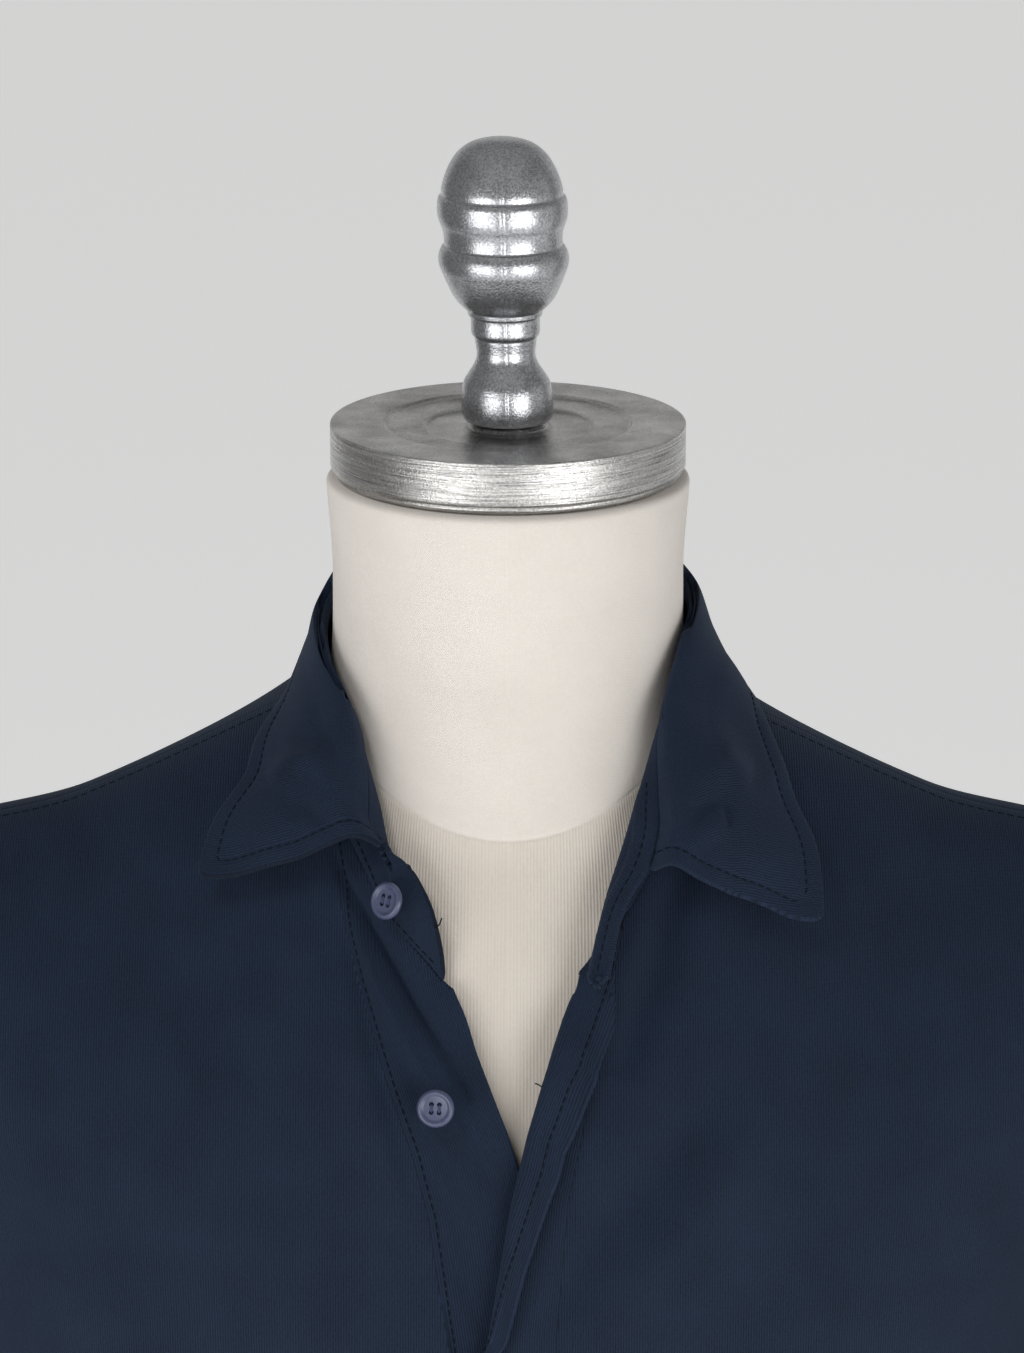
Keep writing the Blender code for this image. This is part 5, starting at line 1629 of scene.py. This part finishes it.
# %% What each piece stands for
PIECES = (
    (shirt_front, "front", "navy_jersey"),
    (shirt_back, "back", "navy_jersey"),
    (sleeve_right, "sleeve_right", "navy_jersey"),
    (sleeve_left, "sleeve_left", "navy_jersey"),
    (under_band, "under_band", "navy_jersey"),
    (upper_band, "upper_band", "navy_jersey"),
    (collar_stand, "collar_stand", "navy_jersey"),
    (collar_leaf, "collar_leaf", "navy_jersey"),
    (buttons[0], "button_stand", "button_resin"),
    (buttons[1], "button_upper", "button_resin"),
    (buttons[2], "button_lower", "button_resin"),
    (form_cover, "form_torso", "form_cotton"),
    (neck_cap, "neck_cap", "cast_aluminium"),
    (knob, "finial", "cast_aluminium"),
    (post, "post", "black_iron"),
    (base_plate, "base_plate", "black_iron"),
)
for piece, node, slot in PIECES:
    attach(piece, "root")
    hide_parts(node)
sewn_on = [row for rows in stitching.values() for row in rows] + threads + [loose]
for row in sewn_on:
    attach(row, "root")


# The flat cut of each piece: width, length and area, in metres, how it is held and on what it rests.
Cut = namedtuple("Cut", "piece owner width length area held rests_on")

# %% [markdown]
# ## Studio
#
# A pale floor runs far behind the form, which at this tilt fills the whole background. The light is that of a white
# room, with two tall soft boxes in front at the left and the right, as the twin highlights on the metal show, and a
# softer one above. Polished metal shows what stands round it, so the studio also has dark cards at its sides and
# overhead. They are seen in reflections only.

# %% Floor, room and cards
def plain_material(name, colour, roughness, glow=0.0):
    made, tree, shader = new_material(name, Roughness=roughness)
    shader.inputs["Base Color"].default_value = linear(colour)
    shader.inputs["Emission Color"].default_value = (1, 1, 1, 1)
    shader.inputs["Emission Strength"].default_value = glow
    return made


def stage_sheet(name, corners, material):
    """A flat piece of the studio, which isn't part of the object."""
    mesh = bpy.data.meshes.new(name)
    mesh.from_pydata(corners, [], [list(range(len(corners)))])
    mesh.materials.append(material)
    sheet = bpy.data.objects.new(name, mesh)
    scene.collection.objects.link(sheet)
    return sheet


FLOOR_RADIUS = 15.0
turns_round = np.linspace(0, math.tau, 96, endpoint=False)
rim = [(FLOOR_RADIUS * math.cos(t), FLOOR_RADIUS * math.sin(t), 0.0) for t in turns_round]
floor = stage_sheet("floor", rim, plain_material("lit_white_floor", "#e6e6e6", 0.95, glow=0.41))
card_grey = plain_material("grey_card", "#a0a0a0", 0.9)
CARDS = {
    "card_left": [(-0.9, -0.45, 0.2), (-0.9, 0.9, 0.2), (-0.9, 0.9, 1.9), (-0.9, -0.45, 1.9)],
    "card_right": [(1.0, 0.3, 0.2), (1.0, 0.7, 0.2), (1.0, 0.7, 1.7), (1.0, 0.3, 1.7)],
    "card_top": [(-1.0, -1.5, 1.95), (1.0, -1.5, 1.95), (1.0, 0.9, 1.95), (-1.0, 0.9, 1.95)],
}
for name, corners in CARDS.items():
    card = stage_sheet(name, corners, card_grey)
    card.visible_camera = card.visible_diffuse = card.visible_shadow = False

world = bpy.data.worlds.new("white_room")
scene.world = world
world.use_nodes = True
room = world.node_tree
background = room.nodes["Background"]
background.inputs[0].default_value = linear("#f6f6f5")
LIGHT_LEVEL, LIGHT_OVERHEAD, LIGHT_IN_METAL = 0.66, 0.2, 0.9
upward = add(room, "ShaderNodeSeparateXYZ", i0=add(room, "ShaderNodeTexCoord").outputs["Generated"]).outputs[2]
fall = add(room, "ShaderNodeMapRange", {"interpolation_type": "SMOOTHSTEP"}, Value=upward)
for number, value in enumerate((0.0, 0.9, LIGHT_LEVEL, LIGHT_OVERHEAD), 1):
    fall.inputs[number].default_value = value
in_metal = maths(room, "MULTIPLY", add(room, "ShaderNodeLightPath").outputs["Is Glossy Ray"], LIGHT_IN_METAL - 1)
room.links.new(maths(room, "MULTIPLY", fall.outputs[0], maths(room, "ADD", in_metal, 1)), background.inputs[1])


# %% Lamps
def soft_box(name, location, target, size, power, colour="#ffffff"):
    data = bpy.data.lights.new(name, "AREA")
    data.shape, data.size, data.size_y = "RECTANGLE", *size
    data.energy, data.color = power, linear(colour)[:3]
    lamp = bpy.data.objects.new(name, data)
    scene.collection.objects.link(lamp)
    lamp.location = location
    lamp.rotation_euler = (Vector(target) - Vector(location)).to_track_quat("-Z", "Y").to_euler()
    return lamp


soft_box("box_left", (-1.25, -1.8, 0.62), (0, 0, 0.9), (1.5, 1.2), 16)
soft_box("box_right", (1.35, -1.9, 0.62), (0, 0, 0.9), (1.5, 1.2), 23)
overhead = soft_box("box_above", (-0.9, -1.3, 2.6), (0, 0, 0.85), (0.7, 0.6), 13)
overhead.visible_glossy = False
scene.view_settings.view_transform = "Standard"

# %% Finish
bpy.context.view_layer.update()
